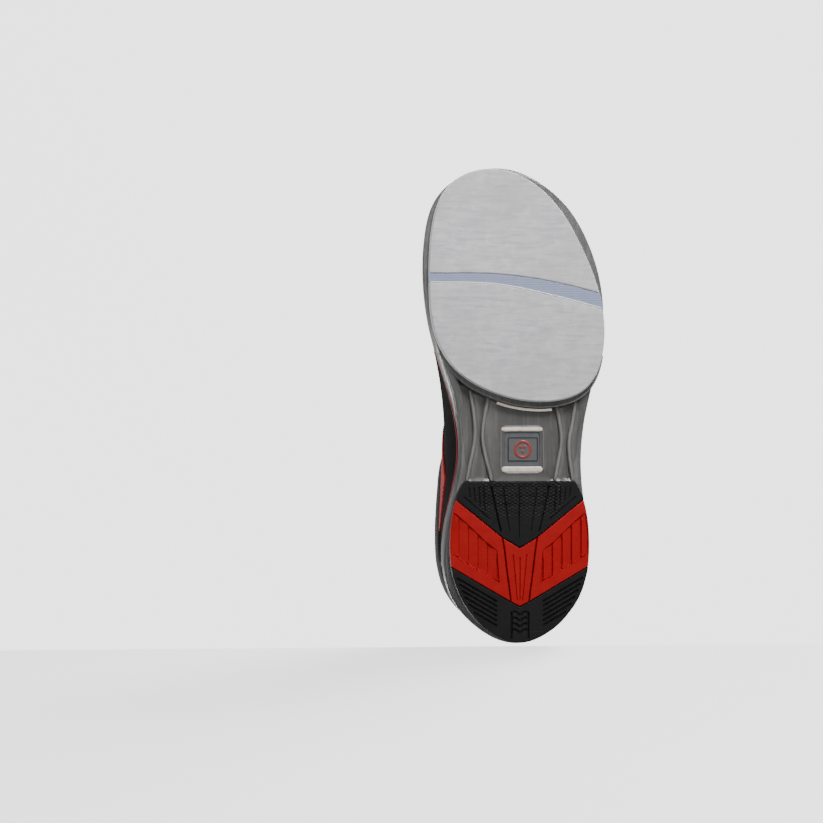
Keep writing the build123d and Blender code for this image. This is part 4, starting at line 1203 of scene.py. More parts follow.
def topline_height(angle):
    """Height of the opening's edge in each direction round the ankle."""
    low, high = np.full(angle.shape, 55.0), np.full(angle.shape, 132.0)
    for _ in range(24):
        z = (low + high) / 2
        above = z > TOPLINE(round_ankle(angle, z)[..., 1])
        low, high = np.where(above, low, z), np.where(above, z, high)
    return low


def build_collar():
    """Padded roll round the ankle opening, from one eyestay round the heel to the other."""
    profile = spline_points(COLLAR_PROFILE, 2.2, closed=True)
    down, out = profile[:, 0], profile[:, 1]
    angles = np.radians(np.linspace(-163, 163, 150))
    top = topline_height(angles)
    top = np.convolve(np.pad(top, 4, "edge"), np.ones(9) / 9, "valid")
    front = np.clip((math.radians(163) - abs(angles)) / math.radians(22), 0, 1)
    size = 0.25 + 0.75 * front * front * (3 - 2 * front)
    fall = (0.62 + 0.33 * front)[:, None]
    angle = np.repeat(angles[:, None], len(profile), 1)
    z = top[:, None] - np.maximum(down, 0)[None] * fall * (0.5 + 0.5 * size[:, None])
    surface = round_ankle(angle, z)
    upwards = round_ankle(angle, z + 1.0) - round_ankle(angle, z - 1.0)
    around = round_ankle(angle + 0.02, z) - round_ankle(angle - 0.02, z)
    normal = unit(np.cross(upwards, around))
    normal *= np.sign(np.sum(normal * (surface - (0, ANKLE_Y, 60)) * (1, 1, 0), 2, keepdims=True))
    upwards = unit(upwards)
    lift = (out[None] * size[:, None] - 2.5 * (1 - size[:, None]))[..., None]
    sections = surface + normal * lift + upwards * np.maximum(-down, 0)[None, :, None] * size[:, None, None]
    length = lengths(surface[:, 0])
    around_profile = lengths(profile)
    grain = np.stack([np.repeat(length[:, None], len(profile), 1),
                      np.repeat(around_profile[None], len(length), 0), 0 * z], 2)
    collar = tube("collar_roll", sections, grain, smooth=60)
    puff(collar, 2.2, 3.0, 4.0)
    finish(collar, "shoe", "collar_padding", coat="collar")


def puff(obj, most, voxel, pressure):
    """Inflates a closed soft piece by cloth simulation, moving no point by more than most millimetres."""
    remesh = obj.modifiers.new("even", "REMESH")
    remesh.mode, remesh.voxel_size = "VOXEL", voxel * MM
    bpy.context.view_layer.objects.active = obj
    bpy.ops.object.modifier_apply(modifier="even")
    before = np.array([v.co for v in obj.data.vertices])
    cloth = obj.modifiers.new("cloth", "CLOTH")
    cloth.settings.use_pressure = True
    cloth.settings.uniform_pressure_force = pressure
    cloth.settings.effector_weights.gravity = 0
    cloth.settings.quality = 5
    scene = bpy.context.scene
    for step in range(1, 16):
        scene.frame_set(step)
    moved = obj.evaluated_get(bpy.context.evaluated_depsgraph_get())
    after = np.array([v.co for v in moved.data.vertices])
    obj.modifiers.remove(cloth)
    scene.frame_set(1)
    travel = after - before
    far = np.linalg.norm(travel, axis=1, keepdims=True)
    travel *= np.minimum(1, most * MM / np.maximum(far, 1e-12))
    obj.data.vertices.foreach_set("co", (before + travel).astype(np.float32).ravel())
    smooth = obj.modifiers.new("soft", "SUBSURF")
    smooth.levels = smooth.render_levels = 1
    bpy.ops.object.modifier_apply(modifier="soft")
    obj.data.shade_smooth()
    # the remesh drops the grain: distance round the ankle, and down the roll from its crest
    points = np.array([v.co for v in obj.data.vertices]) / MM - SHIFT
    radius = np.hypot(points[:, 0], points[:, 1] - ANKLE_Y)
    along = 45 * np.arctan2(points[:, 0], points[:, 1] - ANKLE_Y)
    grain = np.stack([along, points[:, 2] - radius, 0 * along], 1)
    layer = obj.data.attributes.get("grain") or obj.data.attributes.new("grain", "FLOAT_VECTOR", "POINT")
    layer.data.foreach_set("vector", grain.astype(np.float32).ravel())
    return obj


def build_counter():
    """Stiff cup in the heel, between the skin and the lining."""
    grids = []
    for side in (1, -1):
        front = lambda v: turn(88 + 22 * (1 - v))
        grids.append(patch_grid(front, lambda v: math.pi + 0 * v, lambda a: level(a, side, 62),
                                buried(side),
                                80, 40, step=4, edges=NO_EDGES))
    t, f = wrap_round(grids)
    counter = panel("counter_cup", t, f, -2.1, 0.01, edges=NO_EDGES, sink=2.2)
    finish(counter, "shoe", "heel_counter", coat="counter")


# ---------------------------------------------------------------- tongue, eyelets and lace
def skin_height(x, y):
    """Height of the upper's surface over (x, y)."""
    edge = np.where(x > RIDGE(y), OUTER(y), INNER(y))
    share = np.clip(abs(x - RIDGE(y)) / abs(edge - RIDGE(y)), 0, 1)
    power = SQUARE(y)
    return rise(y) + BASE(y) + (TOP(y) - BASE(y)) * np.maximum(1 - share**power, 0) ** (1 / power)


TONGUE_LEFT = smooth_through((-70, -14), (-58, -20), (-40, -24), (-20, -26), (0, -27), (24, -24), (39, -21),
                             (44, -18), (48, -11))
TONGUE_RIGHT = smooth_through((-70, 8), (-58, 13), (-40, 17), (-20, 20), (0, 22), (24, 18), (39, 15),
                              (44, 12), (48, 5))


def build_tongue():
    u = spaced(118, 2.4, 3.0)[:, None]
    v = spaced(44, 2.2, 3.0)[None, :]
    y = -70 + 118 * u + 0 * v
    x = TONGUE_LEFT(y) + (TONGUE_RIGHT(y) - TONGUE_LEFT(y)) * v
    flat = np.stack([x, y, 0 * x], 2)
    puffed = rolled(flat, 7.0, (0, 1, 1, 1))
    free = np.clip((y - 18) / 14, 0, 1)
    channel = 0.5 * np.exp(-((((y + 64) % 23.2) - 11.6) / 1.4) ** 2) * (1 - free)
    height = skin_height(x, y)
    top = height - 9.6 + 4.4 * puffed - channel + 0.8 * free * puffed
    low = height - 11.2 - 3.6 * puffed * (0.75 + 0.25 * free)
    grain = np.stack([x, measured(np.stack([x, y, height], 2), 0), 0 * x], 2)
    tongue = slab("tongue_pad", np.stack([x, y, top], 2), np.stack([x, y, low], 2), grain, smooth=60)
    finish(tongue, None, "tongue_cover", "tongue_padding", "tongue_top_cover", "tongue_top_padding",
           slot="black_synthetic", coat="mesh")
    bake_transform(tongue)


EYELET_ROWS = 6
EYELET_FRONT, EYELET_BACK = -46.0, 12.0
EYELET_TO_EDGE = 6.0


def eyelet_spots():
    """(row, side) to the place of each eyelet and of the throat's edge beside it, each with its normal."""
    spots = {}
    for row in range(EYELET_ROWS):
        y = EYELET_FRONT + (EYELET_BACK - EYELET_FRONT) * row / (EYELET_ROWS - 1)
        t = turn(y)
        for side, throat, spread in ((1, 11.5, 0.14), (-1, -18.0, -0.125)):
            edge = throat + (y + 50) * spread
            for word, x in (("eyelet", edge + side * EYELET_TO_EDGE), ("edge", edge - side * 1.0)):
                f = crossing(t, side, 0, x)
                spots[word, row, side] = (skin(t, f), lookup(SKIN_NORMALS, t, f))
    return spots


def build_eyelets(spots):
    """Rolled metal eyelets."""
    verts, faces = [], []
    profile = [(2.45, -1.2), (2.45, 1.6), (2.6, 2.25), (3.1, 2.65), (3.7, 2.6), (4.1, 2.2), (4.1, 1.9),
               (3.0, 1.9), (3.0, -1.2)]
    around = np.linspace(0, 2 * math.pi, 28, endpoint=False)
    for (word, _, _), (point, normal) in spots.items():
        if word != "eyelet":
            continue
        across = unit(np.cross(normal, (0, 1, 0)))
        along = np.cross(normal, across)
        start = len(verts)
        for a in around:
            out = math.cos(a) * across + math.sin(a) * along
            verts += [point + normal * h + out * r for r, h in profile]
        n = len(profile)
        for i in range(len(around)):
            for j in range(n):
                a, b = start + i * n + j, start + i * n + (j + 1) % n
                after = start + (i + 1) % len(around) * n
                c, d = after + j, after + (j + 1) % n
                faces.append((a, b, d, c))
    obj = new_object("eyelet_rings", verts, faces, smooth=50)
    finish(obj, "shoe", "eyelets", coat="eyelet_metal")


def build_lace(spots):
    """One flat lace in bars across the throat, its ends tucked under the eyestays."""
    route, widths, sides = [], [], []
    side = 1
    along = np.array([0.0, 1.0, 0.45])
    for row in range(EYELET_ROWS):
        (a, up), (near, over) = spots["eyelet", row, side], spots["edge", row, side]
        (b, down), (far, under) = spots["eyelet", row, -side], spots["edge", row, -side]
        middle = (near + far) / 2 + (over + under) / 2 * 3.6
        middle[2] = max(middle[2], skin_height(middle[0], middle[1]) - 1.2)
        up_stops, down_stops = ([(hole - out * 6.6, 3.4), (hole - out * 1.5, 3.2), (hole + out * 2.4, 3.6),
                                 (hole + out * 4.3 + (edge - hole) * 0.3, 5.4), (edge + above * 3.6, 6.4)]
                                for hole, out, edge, above in ((a, up, near, over), (b, down, far, under)))
        for point, width in up_stops + [(middle, 6.6)] + down_stops[::-1]:
            route.append(point)
            widths.append(width)
            sides.append(along)
        side = -side
        if row < EYELET_ROWS - 1:
            c = spots["eyelet", row + 1, side]
            route.append((b + c[0]) / 2 - (down + c[1]) / 2 * 7.4)
            widths.append(4.5)
            sides.append(np.array([float(side), 0.0, -0.5]))
    route, widths, sides = np.array(route), np.array(widths), np.array(sides)
    dense, w, s = smooth_route(route, widths, sides, 1.2)
    tangent = unit(np.gradient(dense, axis=0))
    s = unit(s - np.sum(s * tangent, 1)[:, None] * tangent)
    n = np.cross(tangent, s)
    thick = 0.62
    ring = flat_ring([(0.15, 1.12), (0.38, 0.95), (0.47, 0.6), (0.5, 0)])
    sections = np.stack([dense + s * (w * q)[:, None] + n * (thick * r) for q, r in ring], 1)
    length = lengths(dense)
    grain = np.stack([np.stack([w * q, length, 0 * w], 1) for q, _ in ring], 1)
    lace = tube("flat_lace", sections, grain, smooth=60)
    finish(lace, "shoe", "lace", coat="webbing")


def flat_ring(quarter):
    """Cross-section of a flat strap from one quarter of it, ending at its edge (x, 0)."""
    half = [(-x, z) for x, z in reversed(quarter)] + quarter
    return half + [(x, -z) for x, z in reversed(half[1:-1])]


def smooth_route(points, widths, sides, step):
    """Points a step apart on a centripetal Catmull-Rom curve through the route, with widths and sides."""
    p = np.concatenate([[2 * points[0] - points[1]], points, [2 * points[-1] - points[-2]]])
    out, w, s = [], [], []
    for i in range(1, len(p) - 2):
        knots = np.append(0, np.cumsum(np.maximum(np.linalg.norm(np.diff(p[i - 1 : i + 3], axis=0), axis=1),
                                                  1e-6) ** 0.5))
        count = max(2, int(np.linalg.norm(p[i + 1] - p[i]) / step))
        for k in range(count):
            x = knots[1] + (knots[2] - knots[1]) * k / count
            a = [p[i - 1 + j] * (knots[j + 1] - x) / (knots[j + 1] - knots[j])
                 + p[i + j] * (x - knots[j]) / (knots[j + 1] - knots[j]) for j in range(3)]
            b = [a[j] * (knots[j + 2] - x) / (knots[j + 2] - knots[j])
                 + a[j + 1] * (x - knots[j]) / (knots[j + 2] - knots[j]) for j in range(2)]
            gap = knots[2] - knots[1]
            out.append(b[0] * (knots[2] - x) / gap + b[1] * (x - knots[1]) / gap)
            share = k / count
            w.append(widths[i - 1] * (1 - share) + widths[i] * share)
            s.append(sides[i - 1] * (1 - share) + sides[i] * share)
    return np.array(out + [points[-1]]), np.array(w + [widths[-1]]), np.array(s + [sides[-1]])


def build_pull_tab():
    """Webbing loop over the back of the collar."""
    middle = spline_points([(154.9, 78), (154.6, 90), (153.6, 99), (151, 104.8), (146, 107), (141.5, 104.6),
                            (139.8, 97), (139.6, 90)], 1.2)
    n = sideways(middle)
    ring = flat_ring([(2, 0.8), (6, 0.8), (6.7, 0.6), (7, 0)])
    sections = np.stack([np.column_stack([np.full(len(middle), x), middle + n * h]) for x, h in ring], 1)
    length = lengths(middle)
    grain = np.stack([np.stack([np.full(len(middle), x), length, 0 * length], 1) for x, _ in ring], 1)
    tab = tube("pull_loop", sections, grain)
    finish(tab, "shoe", "heel_pull_tab", coat="webbing")


# ---------------------------------------------------------------- materials
class Look:
    """A node material under construction: noise, bump and colour in millimetres along the piece's grain."""

    def __init__(self, name, colour, rough, **sockets):
        self.made = bpy.data.materials.new(name)
        self.made.use_nodes = True
        self.nodes, self.links = self.made.node_tree.nodes, self.made.node_tree.links
        self.colour_of, self.normal_of, self.place = (*colour, 1), None, {}
        self.set(self.nodes["Principled BSDF"], Base_Color=self.colour_of, Roughness=rough, **sockets)

    def set(self, node, **values):
        """Sets a node's properties, and its sockets by value or by a link."""
        for key, value in values.items():
            if hasattr(node, key):
                setattr(node, key, value)
            elif isinstance(value, bpy.types.NodeSocket):
                self.links.new(value, node.inputs[key.replace("_", " ")])
            else:
                node.inputs[key.replace("_", " ")].default_value = value
        return node

    def node(self, kind, **values):
        return self.set(self.nodes.new(kind), **values)

    def shade(self, **values):
        self.set(self.nodes["Principled BSDF"], **values)
        return self

    def where(self, scale, grain, turned=0.0):
        """Coordinates in millimetres times a scale, turned about z by an angle in degrees."""
        scale = scale if isinstance(scale, tuple) else (scale,) * 3
        key = (scale, grain, turned)
        if key not in self.place:
            if grain:
                source, unit = self.node("ShaderNodeAttribute",
                                         attribute_name="grain").outputs["Vector"], 1.0
            else:
                source, unit = self.node("ShaderNodeTexCoord").outputs["Object"], 1000.0
            mapping = self.node("ShaderNodeMapping", Scale=[s * unit for s in scale], Vector=source,
                                Rotation=(0, 0, math.radians(turned)))
            self.place[key] = mapping.outputs["Vector"]
        return self.place[key]

    def noise(self, scale, detail=4.0, rough=0.5, distortion=0.0, grain=False):
        return self.node("ShaderNodeTexNoise", Scale=1.0, Detail=detail, Roughness=rough,
                         Distortion=distortion,
                         Vector=self.where(scale, grain)).outputs["Fac"]

    def cells(self, scale, feature="F1", grain=False, randomness=1.0, turned=0.0):
        return self.node("ShaderNodeTexVoronoi", feature=feature, Scale=1.0, Randomness=randomness,
                         Vector=self.where(scale, grain, turned)).outputs["Distance"]

    def bands(self, scale, axis, grain=False, turned=0.0):
        """Sine stripes across an axis: a scale of 1/pitch gives one stripe a pitch."""
        return self.node("ShaderNodeTexWave", wave_type="BANDS", bands_direction=axis, Scale=0.31416,
                         Detail=1.0,
                         Detail_Scale=1.0, Vector=self.where(scale, grain, turned)).outputs["Fac"]

    def ramp(self, value, low, high, start=0.0, end=1.0):
        return self.node("ShaderNodeMapRange", From_Min=low, From_Max=high, To_Min=start, To_Max=end,
                         Value=value).outputs["Result"]

    def tint(self, amount, colour):
        """Mixes a colour in by an amount, on top of what is there."""
        made = self.node("ShaderNodeMix", data_type="RGBA")
        below, above = made.inputs[6], made.inputs[7]
        above.default_value = (*colour, 1)
        if isinstance(self.colour_of, tuple):
            below.default_value = self.colour_of
        else:
            self.links.new(self.colour_of, below)
        self.links.new(amount, made.inputs[0])
        self.colour_of = made.outputs[2]
        return self.shade(Base_Color=self.colour_of)

    def stain(self, value, low, high, most, colour):
        """Tints by up to most, as value goes from low to high."""
        return self.tint(self.ramp(value, low, high, 0, most), colour)

    def roughen(self, value, low, high):
        return self.shade(Roughness=self.ramp(value, 0.25, 0.75, low, high))

    def bump(self, height, depth, strength=0.6):
        made = self.node("ShaderNodeBump", Strength=strength, Distance=depth * MM, Height=height)
        if self.normal_of is not None:
            self.set(made, Normal=self.normal_of)
        self.normal_of = made.outputs["Normal"]
        return self.shade(Normal=self.normal_of)

    def wear_and_highlight_edges(self, colour, low, high):
        """Lighter convex edges: partly wear, partly a painted highlight along the edges."""
        return self.tint(self.ramp(self.node("ShaderNodeNewGeometry").outputs["Pointiness"], low, high),
                         colour)


def microfibre():
    m = Look("slide_microfibre", (0.63, 0.62, 0.64), 0.85, Sheen_Weight=0.25, Sheen_Roughness=0.5,
             Specular_IOR_Level=0.3, Sheen_Tint=(0.85, 0.9, 1.0, 1))
    streaks = m.noise((0.05, 0.42, 0.2), 4.0, 0.6, distortion=0.5, grain=True)
    nap = m.noise((0.13, 0.16, 0.2), 6.0, 0.62, distortion=0.7, grain=True)
    fibre = m.noise((1.3, 2.6, 2.0), 4.0, 0.7, grain=True)
    m.stain(streaks, 0.42, 0.68, 0.8, (0.43, 0.44, 0.475))
    m.stain(nap, 0.50, 0.68, 0.5, (0.78, 0.77, 0.785))
    m.stain(nap, 0.47, 0.30, 0.4, (0.47, 0.47, 0.49))
    m.stain(m.noise((0.018, 0.025, 0.02), 2.0, grain=True), 0.42, 0.66, 0.45, (0.47, 0.465, 0.47))
    m.roughen(nap, 0.76, 0.94)
    return m.bump(streaks, 0.22, 0.3).bump(fibre, 0.18, 0.55).made


def flex_strip():
    m = Look("flex_strip", (0.27, 0.31, 0.46), 0.6, Sheen_Weight=0.1)
    ribs = m.bands(0.9, "Y", grain=True)
    m.stain(m.noise(0.25, grain=True), 0.42, 0.7, 0.45, (0.33, 0.37, 0.52))
    m.tint(m.ramp(ribs, 0.0, 0.35, 0.35, 0.0), (0.19, 0.22, 0.33))
    return m.bump(ribs, 0.14).bump(m.noise(2.4, 3.0, grain=True), 0.06, 0.5).made


def pad_foam():
    # The foam is brighter than the real backing so that it shows as bright lines round the pad faces and
    # along the band: partly the foam's own pale colour, partly painted highlight.
    m = Look("pad_foam", (0.82, 0.82, 0.83), 0.7)
    pores = m.cells(1.3)
    return m.stain(m.noise(0.3), 0.4, 0.7, 0.5, (0.74, 0.74, 0.76)).bump(pores, 0.10).made


def hook_tape():
    m = Look("hook_tape", (0.06, 0.06, 0.065), 0.5)
    hooks = m.cells(1.1, randomness=0.35)
    return m.tint(m.ramp(hooks, 0.1, 0.5, 0.8, 0.0), (0.20, 0.20, 0.21)).bump(hooks, 0.35, 0.9).made


def mottled(name, colour, rough, pattern, high, most, other, depth, strength, low=0.45, **sockets):
    """One noise pattern that both stains and dents the surface."""
    m = Look(name, colour, rough, **sockets)
    spots = m.noise(*pattern)
    return m.stain(spots, low, high, most, other).bump(spots, depth, strength).made


def speckled(name, colour, rough, scale, detail, low, most, other, fine, depth, strength, **sockets):
    """Hard plastic: faint clouds of another colour, and a fine grain."""
    m = Look(name, colour, rough, **sockets)
    m.stain(m.noise(scale, detail), low, 0.7, most, other)
    return m.bump(m.noise(fine, 2.0), depth, strength).made


def board(name, colour, light):
    return mottled(name, colour, 0.8, ((0.5, 1.6, 0.5), 5.0, 0.7), 0.7, 0.7, light, 0.12, 0.5)


def rubber(name, colour, light, dark):
    m = Look(name, colour, 0.58, Specular_IOR_Level=0.16)
    mottle, scuff = m.noise(0.11, 5.0, 0.55), m.noise((0.05, 0.9, 0.5), 4.0, 0.7)
    m.stain(mottle, 0.42, 0.72, 0.55, dark).stain(scuff, 0.56, 0.74, 0.30, light)
    # convex edges lighter: partly wear, partly painted highlight
    m.wear_and_highlight_edges(light, 0.53, 0.66).roughen(mottle, 0.44, 0.68)
    return m.bump(m.noise(3.0, 3.0, 0.6), 0.05).bump(mottle, 0.10, 0.25).made


def clear_tpu(name, colour, dark, light, through):
    m = Look(name, colour, 0.2, Transmission_Weight=through, IOR=1.47, Coat_Weight=0.25,
             Coat_Roughness=0.22)
    m.stain(m.noise(0.06, 4.0, 0.6), 0.4, 0.7, 0.6, dark)
    m.stain(m.noise((0.5, 0.035, 0.2), 4.0, 0.6, distortion=0.4), 0.50, 0.75, 0.4, light)
    return m.roughen(m.noise(0.2, 5.0, 0.6), 0.26, 0.44).bump(m.noise(0.35, 3.0), 0.08, 0.35).made


def knit(name, colour, light, pitch, depth):
    """Knitted mesh: slanting rows of small holes between lighter threads."""
    m = Look(name, colour, 0.85, Sheen_Weight=0.12, Sheen_Roughness=0.4, Specular_IOR_Level=0.25)
    k = 1 / pitch
    net = m.cells((k, k, 0.0), grain=True, randomness=0.12, turned=45.0)
    threads = m.noise(k * 3, 3.0, 0.7, grain=True)
    m.stain(net, 0.30, 0.62, 0.9, light).stain(m.noise(0.05, 3.0, grain=True), 0.42, 0.7, 0.35, colour)
    return m.bump(net, depth, 0.9).bump(threads, depth * 0.3, 0.5).made


def leather(name, colour, light, rough=0.46, grain_size=1.25, shine=0.22):
    m = Look(name, colour, rough, Specular_IOR_Level=shine)
    pebbles = m.cells(grain_size, "SMOOTH_F1", grain=True)
    creases = m.noise((0.22, 0.16, 0.2), 5.0, 0.55, distortion=0.8, grain=True)
    # convex edges lighter: partly wear, partly painted highlight
    m.stain(creases, 0.45, 0.72, 0.5, light).wear_and_highlight_edges(light, 0.52, 0.62)
    m.roughen(creases, rough - 0.08, rough + 0.12)
    return m.bump(pebbles, -0.10, 0.55).bump(creases, 0.22, 0.30).made


def webbing(name, colour, light):
    m = Look(name, colour, 0.7, Sheen_Weight=0.12, Specular_IOR_Level=0.3)
    crossing_bands = [m.bands((1.1, 1.1, 0), "X", grain=True, turned=angle) for angle in (40.0, -40.0)]
    product = m.node("ShaderNodeMath", operation="MULTIPLY")
    for band, socket in zip(crossing_bands, product.inputs):
        m.links.new(band, socket)
    weave = product.outputs[0]
    m.tint(m.ramp(weave, 0.2, 0.8), light).stain(m.noise(0.5, 3.0, grain=True), 0.45, 0.7, 0.4, colour)
    return m.bump(weave, 0.16, 0.8).bump(m.noise(4.0, 2.0, grain=True), 0.05, 0.5).made


def metal():
    m = Look("eyelet_metal", (0.10, 0.10, 0.11), 0.3, Metallic=0.9)
    # the eyelets' convex edges lighter: partly wear, partly painted highlight
    m.stain(m.noise(0.8), 0.45, 0.7, 0.6, (0.18, 0.18, 0.19)).wear_and_highlight_edges((0.42, 0.41, 0.40), 0.54, 0.66)
    return m.bump(m.noise(3.0, 2.0), 0.03, 0.3).made


def thread(name, colour):
    m = Look(name, colour, 0.6, Sheen_Weight=0.2)
    twist = m.bands(2.2, "DIAGONAL")
    return m.tint(m.ramp(twist, 0.2, 0.8), tuple(min(1.0, c * 1.8 + 0.01) for c in colour)).bump(twist,
                                                                                                 0.08).made


LOOKS = {
    "microfibre": microfibre(), "flex_strip": flex_strip(), "pad_foam": pad_foam(),
    "hook_tape": hook_tape(),
    "loops": mottled("loop_fabric", (0.14, 0.14, 0.15), 0.9, (1.1, 5.0, 0.7, 1.2), 0.7, 0.6,
                     (0.24, 0.24, 0.25), 0.3,
                     0.7, low=0.4, Sheen_Weight=0.3),
    # cream look for bars that are painted highlights on the clear sole's raised edges
    "bright_bar": speckled("clear_tpu_painted_highlight", (0.80, 0.71, 0.62), 0.4, 0.5, 4.0, 0.45, 0.6,
                           (0.58, 0.45, 0.36), 1.5,
                           0.04, 0.4, Coat_Weight=0.2),
    "clear_tpu": clear_tpu("clear_tpu", (0.115, 0.112, 0.108), (0.075, 0.073, 0.07), (0.26, 0.255, 0.25),
                           0.25),
    # lighter copy of the clear TPU for ribs, rims and beads: painted highlight
    "clear_rib_painted_highlight": clear_tpu("clear_tpu_rib_painted_highlight", (0.24, 0.235, 0.23), (0.16, 0.157, 0.153), (0.48, 0.47, 0.46),
                           0.25),
    # lighter copy of the clear TPU for the wall: painted light
    "clear_wall_painted_light": clear_tpu("clear_tpu_wall_painted_light", (0.17, 0.168, 0.165), (0.10, 0.098, 0.096),
                            (0.36, 0.355, 0.35), 0.3),
    "black_rubber": rubber("black_rubber", (0.010, 0.010, 0.011), (0.035, 0.035, 0.037),
                           (0.006, 0.006, 0.007)),
    "red_rubber": rubber("red_rubber", (0.36, 0.005, 0.007), (0.47, 0.018, 0.020), (0.28, 0.003, 0.005)),
    "badge_plastic": speckled("badge_plastic", (0.095, 0.10, 0.097), 0.34, 0.4, 3.0, 0.4, 0.5,
                              (0.11, 0.115, 0.115),
                              2.0, 0.03, 0.4),
    "badge_field": speckled("badge_print_grey", (0.090, 0.098, 0.112), 0.42, 0.3, 4.0, 0.4, 0.6,
                            (0.065, 0.072, 0.084), 2.4, 0.03, 0.4, Coat_Weight=0.2),
    "badge_red": speckled("badge_print_red", (0.30, 0.03, 0.03), 0.42, 0.3, 4.0, 0.4, 0.6,
                          (0.20, 0.02, 0.022), 2.4,
                          0.03, 0.4, Coat_Weight=0.2),
    "eva_foam": mottled("eva_foam", (0.11, 0.11, 0.12), 0.75, (1.1, 4.0, 0.6), 0.7, 0.5,
                        (0.17, 0.17, 0.18), 0.10,
                        0.5),
    "fibreboard": board("insole_fibreboard", (0.30, 0.27, 0.22), (0.42, 0.38, 0.31)),
    "shank": board("shank_board", (0.10, 0.10, 0.105), (0.16, 0.16, 0.165)),
    "counter": board("counter_board", (0.20, 0.18, 0.16), (0.28, 0.26, 0.23)),
    "footbed": knit("footbed_cloth", (0.016, 0.016, 0.018), (0.045, 0.045, 0.048), 1.1, 0.12),
    "mesh": knit("black_mesh", (0.004, 0.004, 0.0045), (0.020, 0.020, 0.022), 1.9, 0.32),
    "collar": knit("collar_knit", (0.006, 0.006, 0.0065), (0.020, 0.020, 0.022), 1.3, 0.18),
    "lining": knit("lining_knit", (0.010, 0.010, 0.011), (0.034, 0.034, 0.036), 1.2, 0.14),
    "leather": leather("black_synthetic", (0.007, 0.007, 0.008), (0.018, 0.018, 0.019)),
    "quarter": leather("black_synthetic_smooth", (0.005, 0.005, 0.0055), (0.013, 0.013, 0.014), 0.75, 0.9,
                       0.03),
    "red_leather": leather("red_synthetic", (0.36, 0.009, 0.011), (0.46, 0.025, 0.025), 0.40),
    "piping": leather("piping", (0.26, 0.008, 0.010), (0.36, 0.02, 0.02), 0.45, 1.8),
    "padding": board("padding_foam", (0.12, 0.12, 0.13), (0.18, 0.18, 0.19)),
    "webbing": webbing("lace_webbing", (0.008, 0.008, 0.009), (0.034, 0.034, 0.036)),
    "eyelet_metal": metal(),
    "thread": thread("black_thread", (0.030, 0.030, 0.032)),
    "red_thread": thread("dark_red_thread", (0.16, 0.012, 0.014)),
}


# ---------------------------------------------------------------- floor, light and camera
def one_sided(name, colour, glow=0.0):
    """Pale surface that only shows from its front."""
    made = bpy.data.materials.new(name)
    made.use_nodes = True
    nodes, links = made.node_tree.nodes, made.node_tree.links
    shader = nodes["Principled BSDF"]
    shader.inputs["Roughness"].default_value = 0.9
    cloud = nodes.new("ShaderNodeTexNoise")
    cloud.inputs["Scale"].default_value = 1.2
    cloud.inputs["Detail"].default_value = 1.0
    mix = nodes.new("ShaderNodeMix")
    mix.data_type = "RGBA"
    mix.inputs[6].default_value = (*colour, 1)
    mix.inputs[7].default_value = (*[c * 0.97 for c in colour], 1)
    links.new(cloud.outputs["Fac"], mix.inputs[0])
    links.new(mix.outputs[2], shader.inputs["Base Color"])
    shader.inputs["Emission Color"].default_value = (1.0, 0.985, 0.98, 1)
    shader.inputs["Emission Strength"].default_value = glow
    clear = nodes.new("ShaderNodeBsdfTransparent")
    back = nodes.new("ShaderNodeMixShader")
    links.new(nodes.new("ShaderNodeNewGeometry").outputs["Backfacing"], back.inputs["Fac"])
    links.new(shader.outputs[0], back.inputs[1])
    links.new(clear.outputs[0], back.inputs[2])
    links.new(back.outputs[0], nodes["Material Output"].inputs["Surface"])
    return made


def sheet_of(name, corners, material):
    mesh = bpy.data.meshes.new(name)
    mesh.from_pydata(corners, [], [tuple(range(len(corners)))])
    mesh.materials.append(material)
    obj = bpy.data.objects.new(name, mesh)
    bpy.context.scene.collection.objects.link(obj)
    obj.visible_shadow = obj.visible_diffuse = obj.visible_glossy = obj.visible_transmission = False
    return obj


def lamp(name, place, target, size, power):
    data = bpy.data.lights.new(name, "AREA")
    data.shape = "DISK"
    data.size, data.energy = size, power
    obj = bpy.data.objects.new(name, data)
    bpy.context.scene.collection.objects.link(obj)
    obj.location = place
    obj.rotation_euler = (Vector(target) - Vector(place)).to_track_quat("-Z", "Y").to_euler()
    obj.visible_camera = False
    return obj


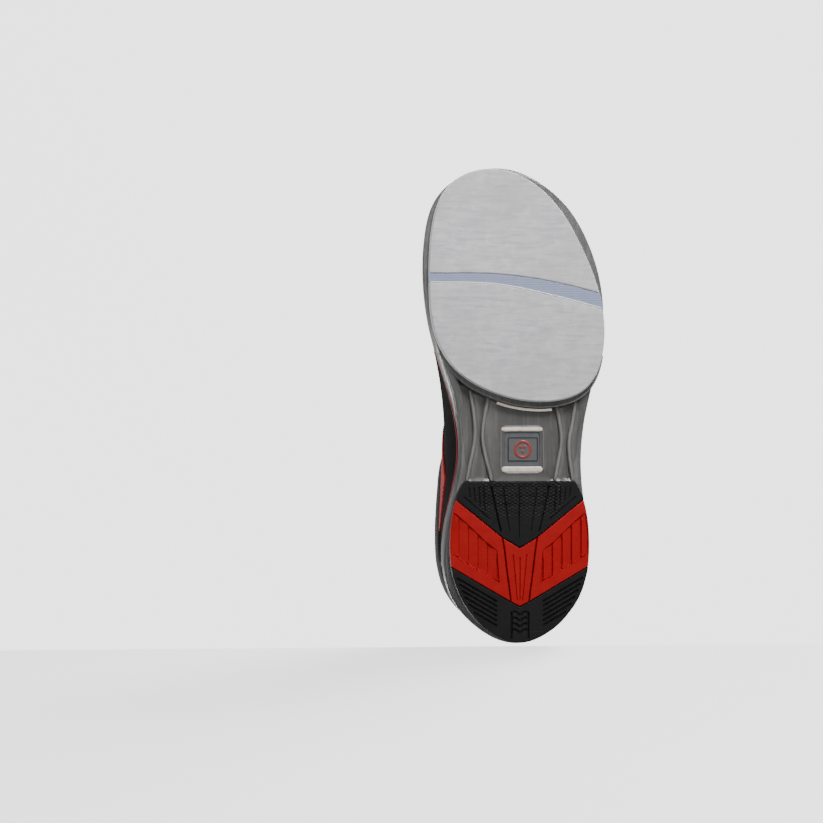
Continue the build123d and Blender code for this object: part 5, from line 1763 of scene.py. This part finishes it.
def build_stage():
    floor = one_sided("pale_floor", (0.72, 0.73, 0.74))
    low = -0.3 * MM
    sheet_of("floor", [(-3, -3, low), (3, -3, low), (3, 3, low), (-3, 3, low)], floor)
    # what the shoe stands on in the photograph: a pale surface behind its heel, seen from the sole's side
    heel_y = 0.1543
    photo = one_sided("photo_floor", (0.88, 0.87, 0.865), glow=1.0)
    sheet_of("photo_floor", [(-3, heel_y, -3), (3, heel_y, -3), (3, heel_y, low), (-3, heel_y, low)], photo)
    card = one_sided("backdrop", (0.5, 0.49, 0.488), glow=2.7)
    sheet_of("backdrop", [(-3, -3, 2.5), (-3, 3, 2.5), (3, 3, 2.5), (3, -3, 2.5)], card)
    world = bpy.data.worlds.new("studio")
    world.use_nodes = True
    nodes, links = world.node_tree.nodes, world.node_tree.links
    background = nodes["Background"]
    background.inputs["Color"].default_value = (0.83, 0.835, 0.84, 1)
    strength = nodes.new("ShaderNodeMapRange")      # paler as a backdrop than as a light
    strength.inputs["To Min"].default_value, strength.inputs["To Max"].default_value = 0.36, 1.15
    links.new(nodes.new("ShaderNodeLightPath").outputs["Is Camera Ray"], strength.inputs["Value"])
    links.new(strength.outputs["Result"], background.inputs["Strength"])
    bpy.context.scene.world = world
    # for the sole: a broad light from the toe's side, in front, and a weak one from the inner side
    lamp("sole_key", (0.35, -1.25, -1.1), (0, 0, 0), 0.7, 37)
    lamp("sole_fill", (-0.3, 0.0, -1.6), (0, 0, 0), 0.8, 3)
    # for views from above
    lamp("top_key", (0.8, -0.9, 1.3), (0, 0, 0.05), 0.8, 42)
    lamp("top_fill", (-1.1, 0.8, 1.2), (0, 0, 0.05), 0.9, 34)


def build_camera():
    """The photograph's view: the sole square on, the toe up, the lens axis left of the shoe."""
    data = bpy.data.cameras.new("camera")
    data.sensor_width, data.lens = 36.0, 106.0
    obj = bpy.data.objects.new("camera", data)
    bpy.context.scene.collection.objects.link(obj)
    place = (np.array([-205, 4.8, -1550]) + SHIFT) * MM
    target = (np.array([-69.2, 4.8, 0]) + SHIFT) * MM
    back = Vector(place - target).normalized()
    up = Vector((0, -1, 0))
    right = up.cross(back).normalized()
    turned = Matrix((right, back.cross(right), back)).transposed()
    obj.matrix_world = Matrix.Translation(Vector(place)) @ turned.to_4x4()
    bpy.context.scene.camera = obj


# ---------------------------------------------------------------- the whole shoe
build_pad()
build_heel()
build_sole()
build_insides()
build_shell()
build_panels()
build_piping()
build_collar()
build_counter()
build_tongue()
spots = eyelet_spots()
build_eyelets(spots)
build_lace(spots)
build_pull_tab()
for material_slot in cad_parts["shank_plate"].material_slots:
    material_slot.material = LOOKS["shank"]
build_stage()
build_camera()
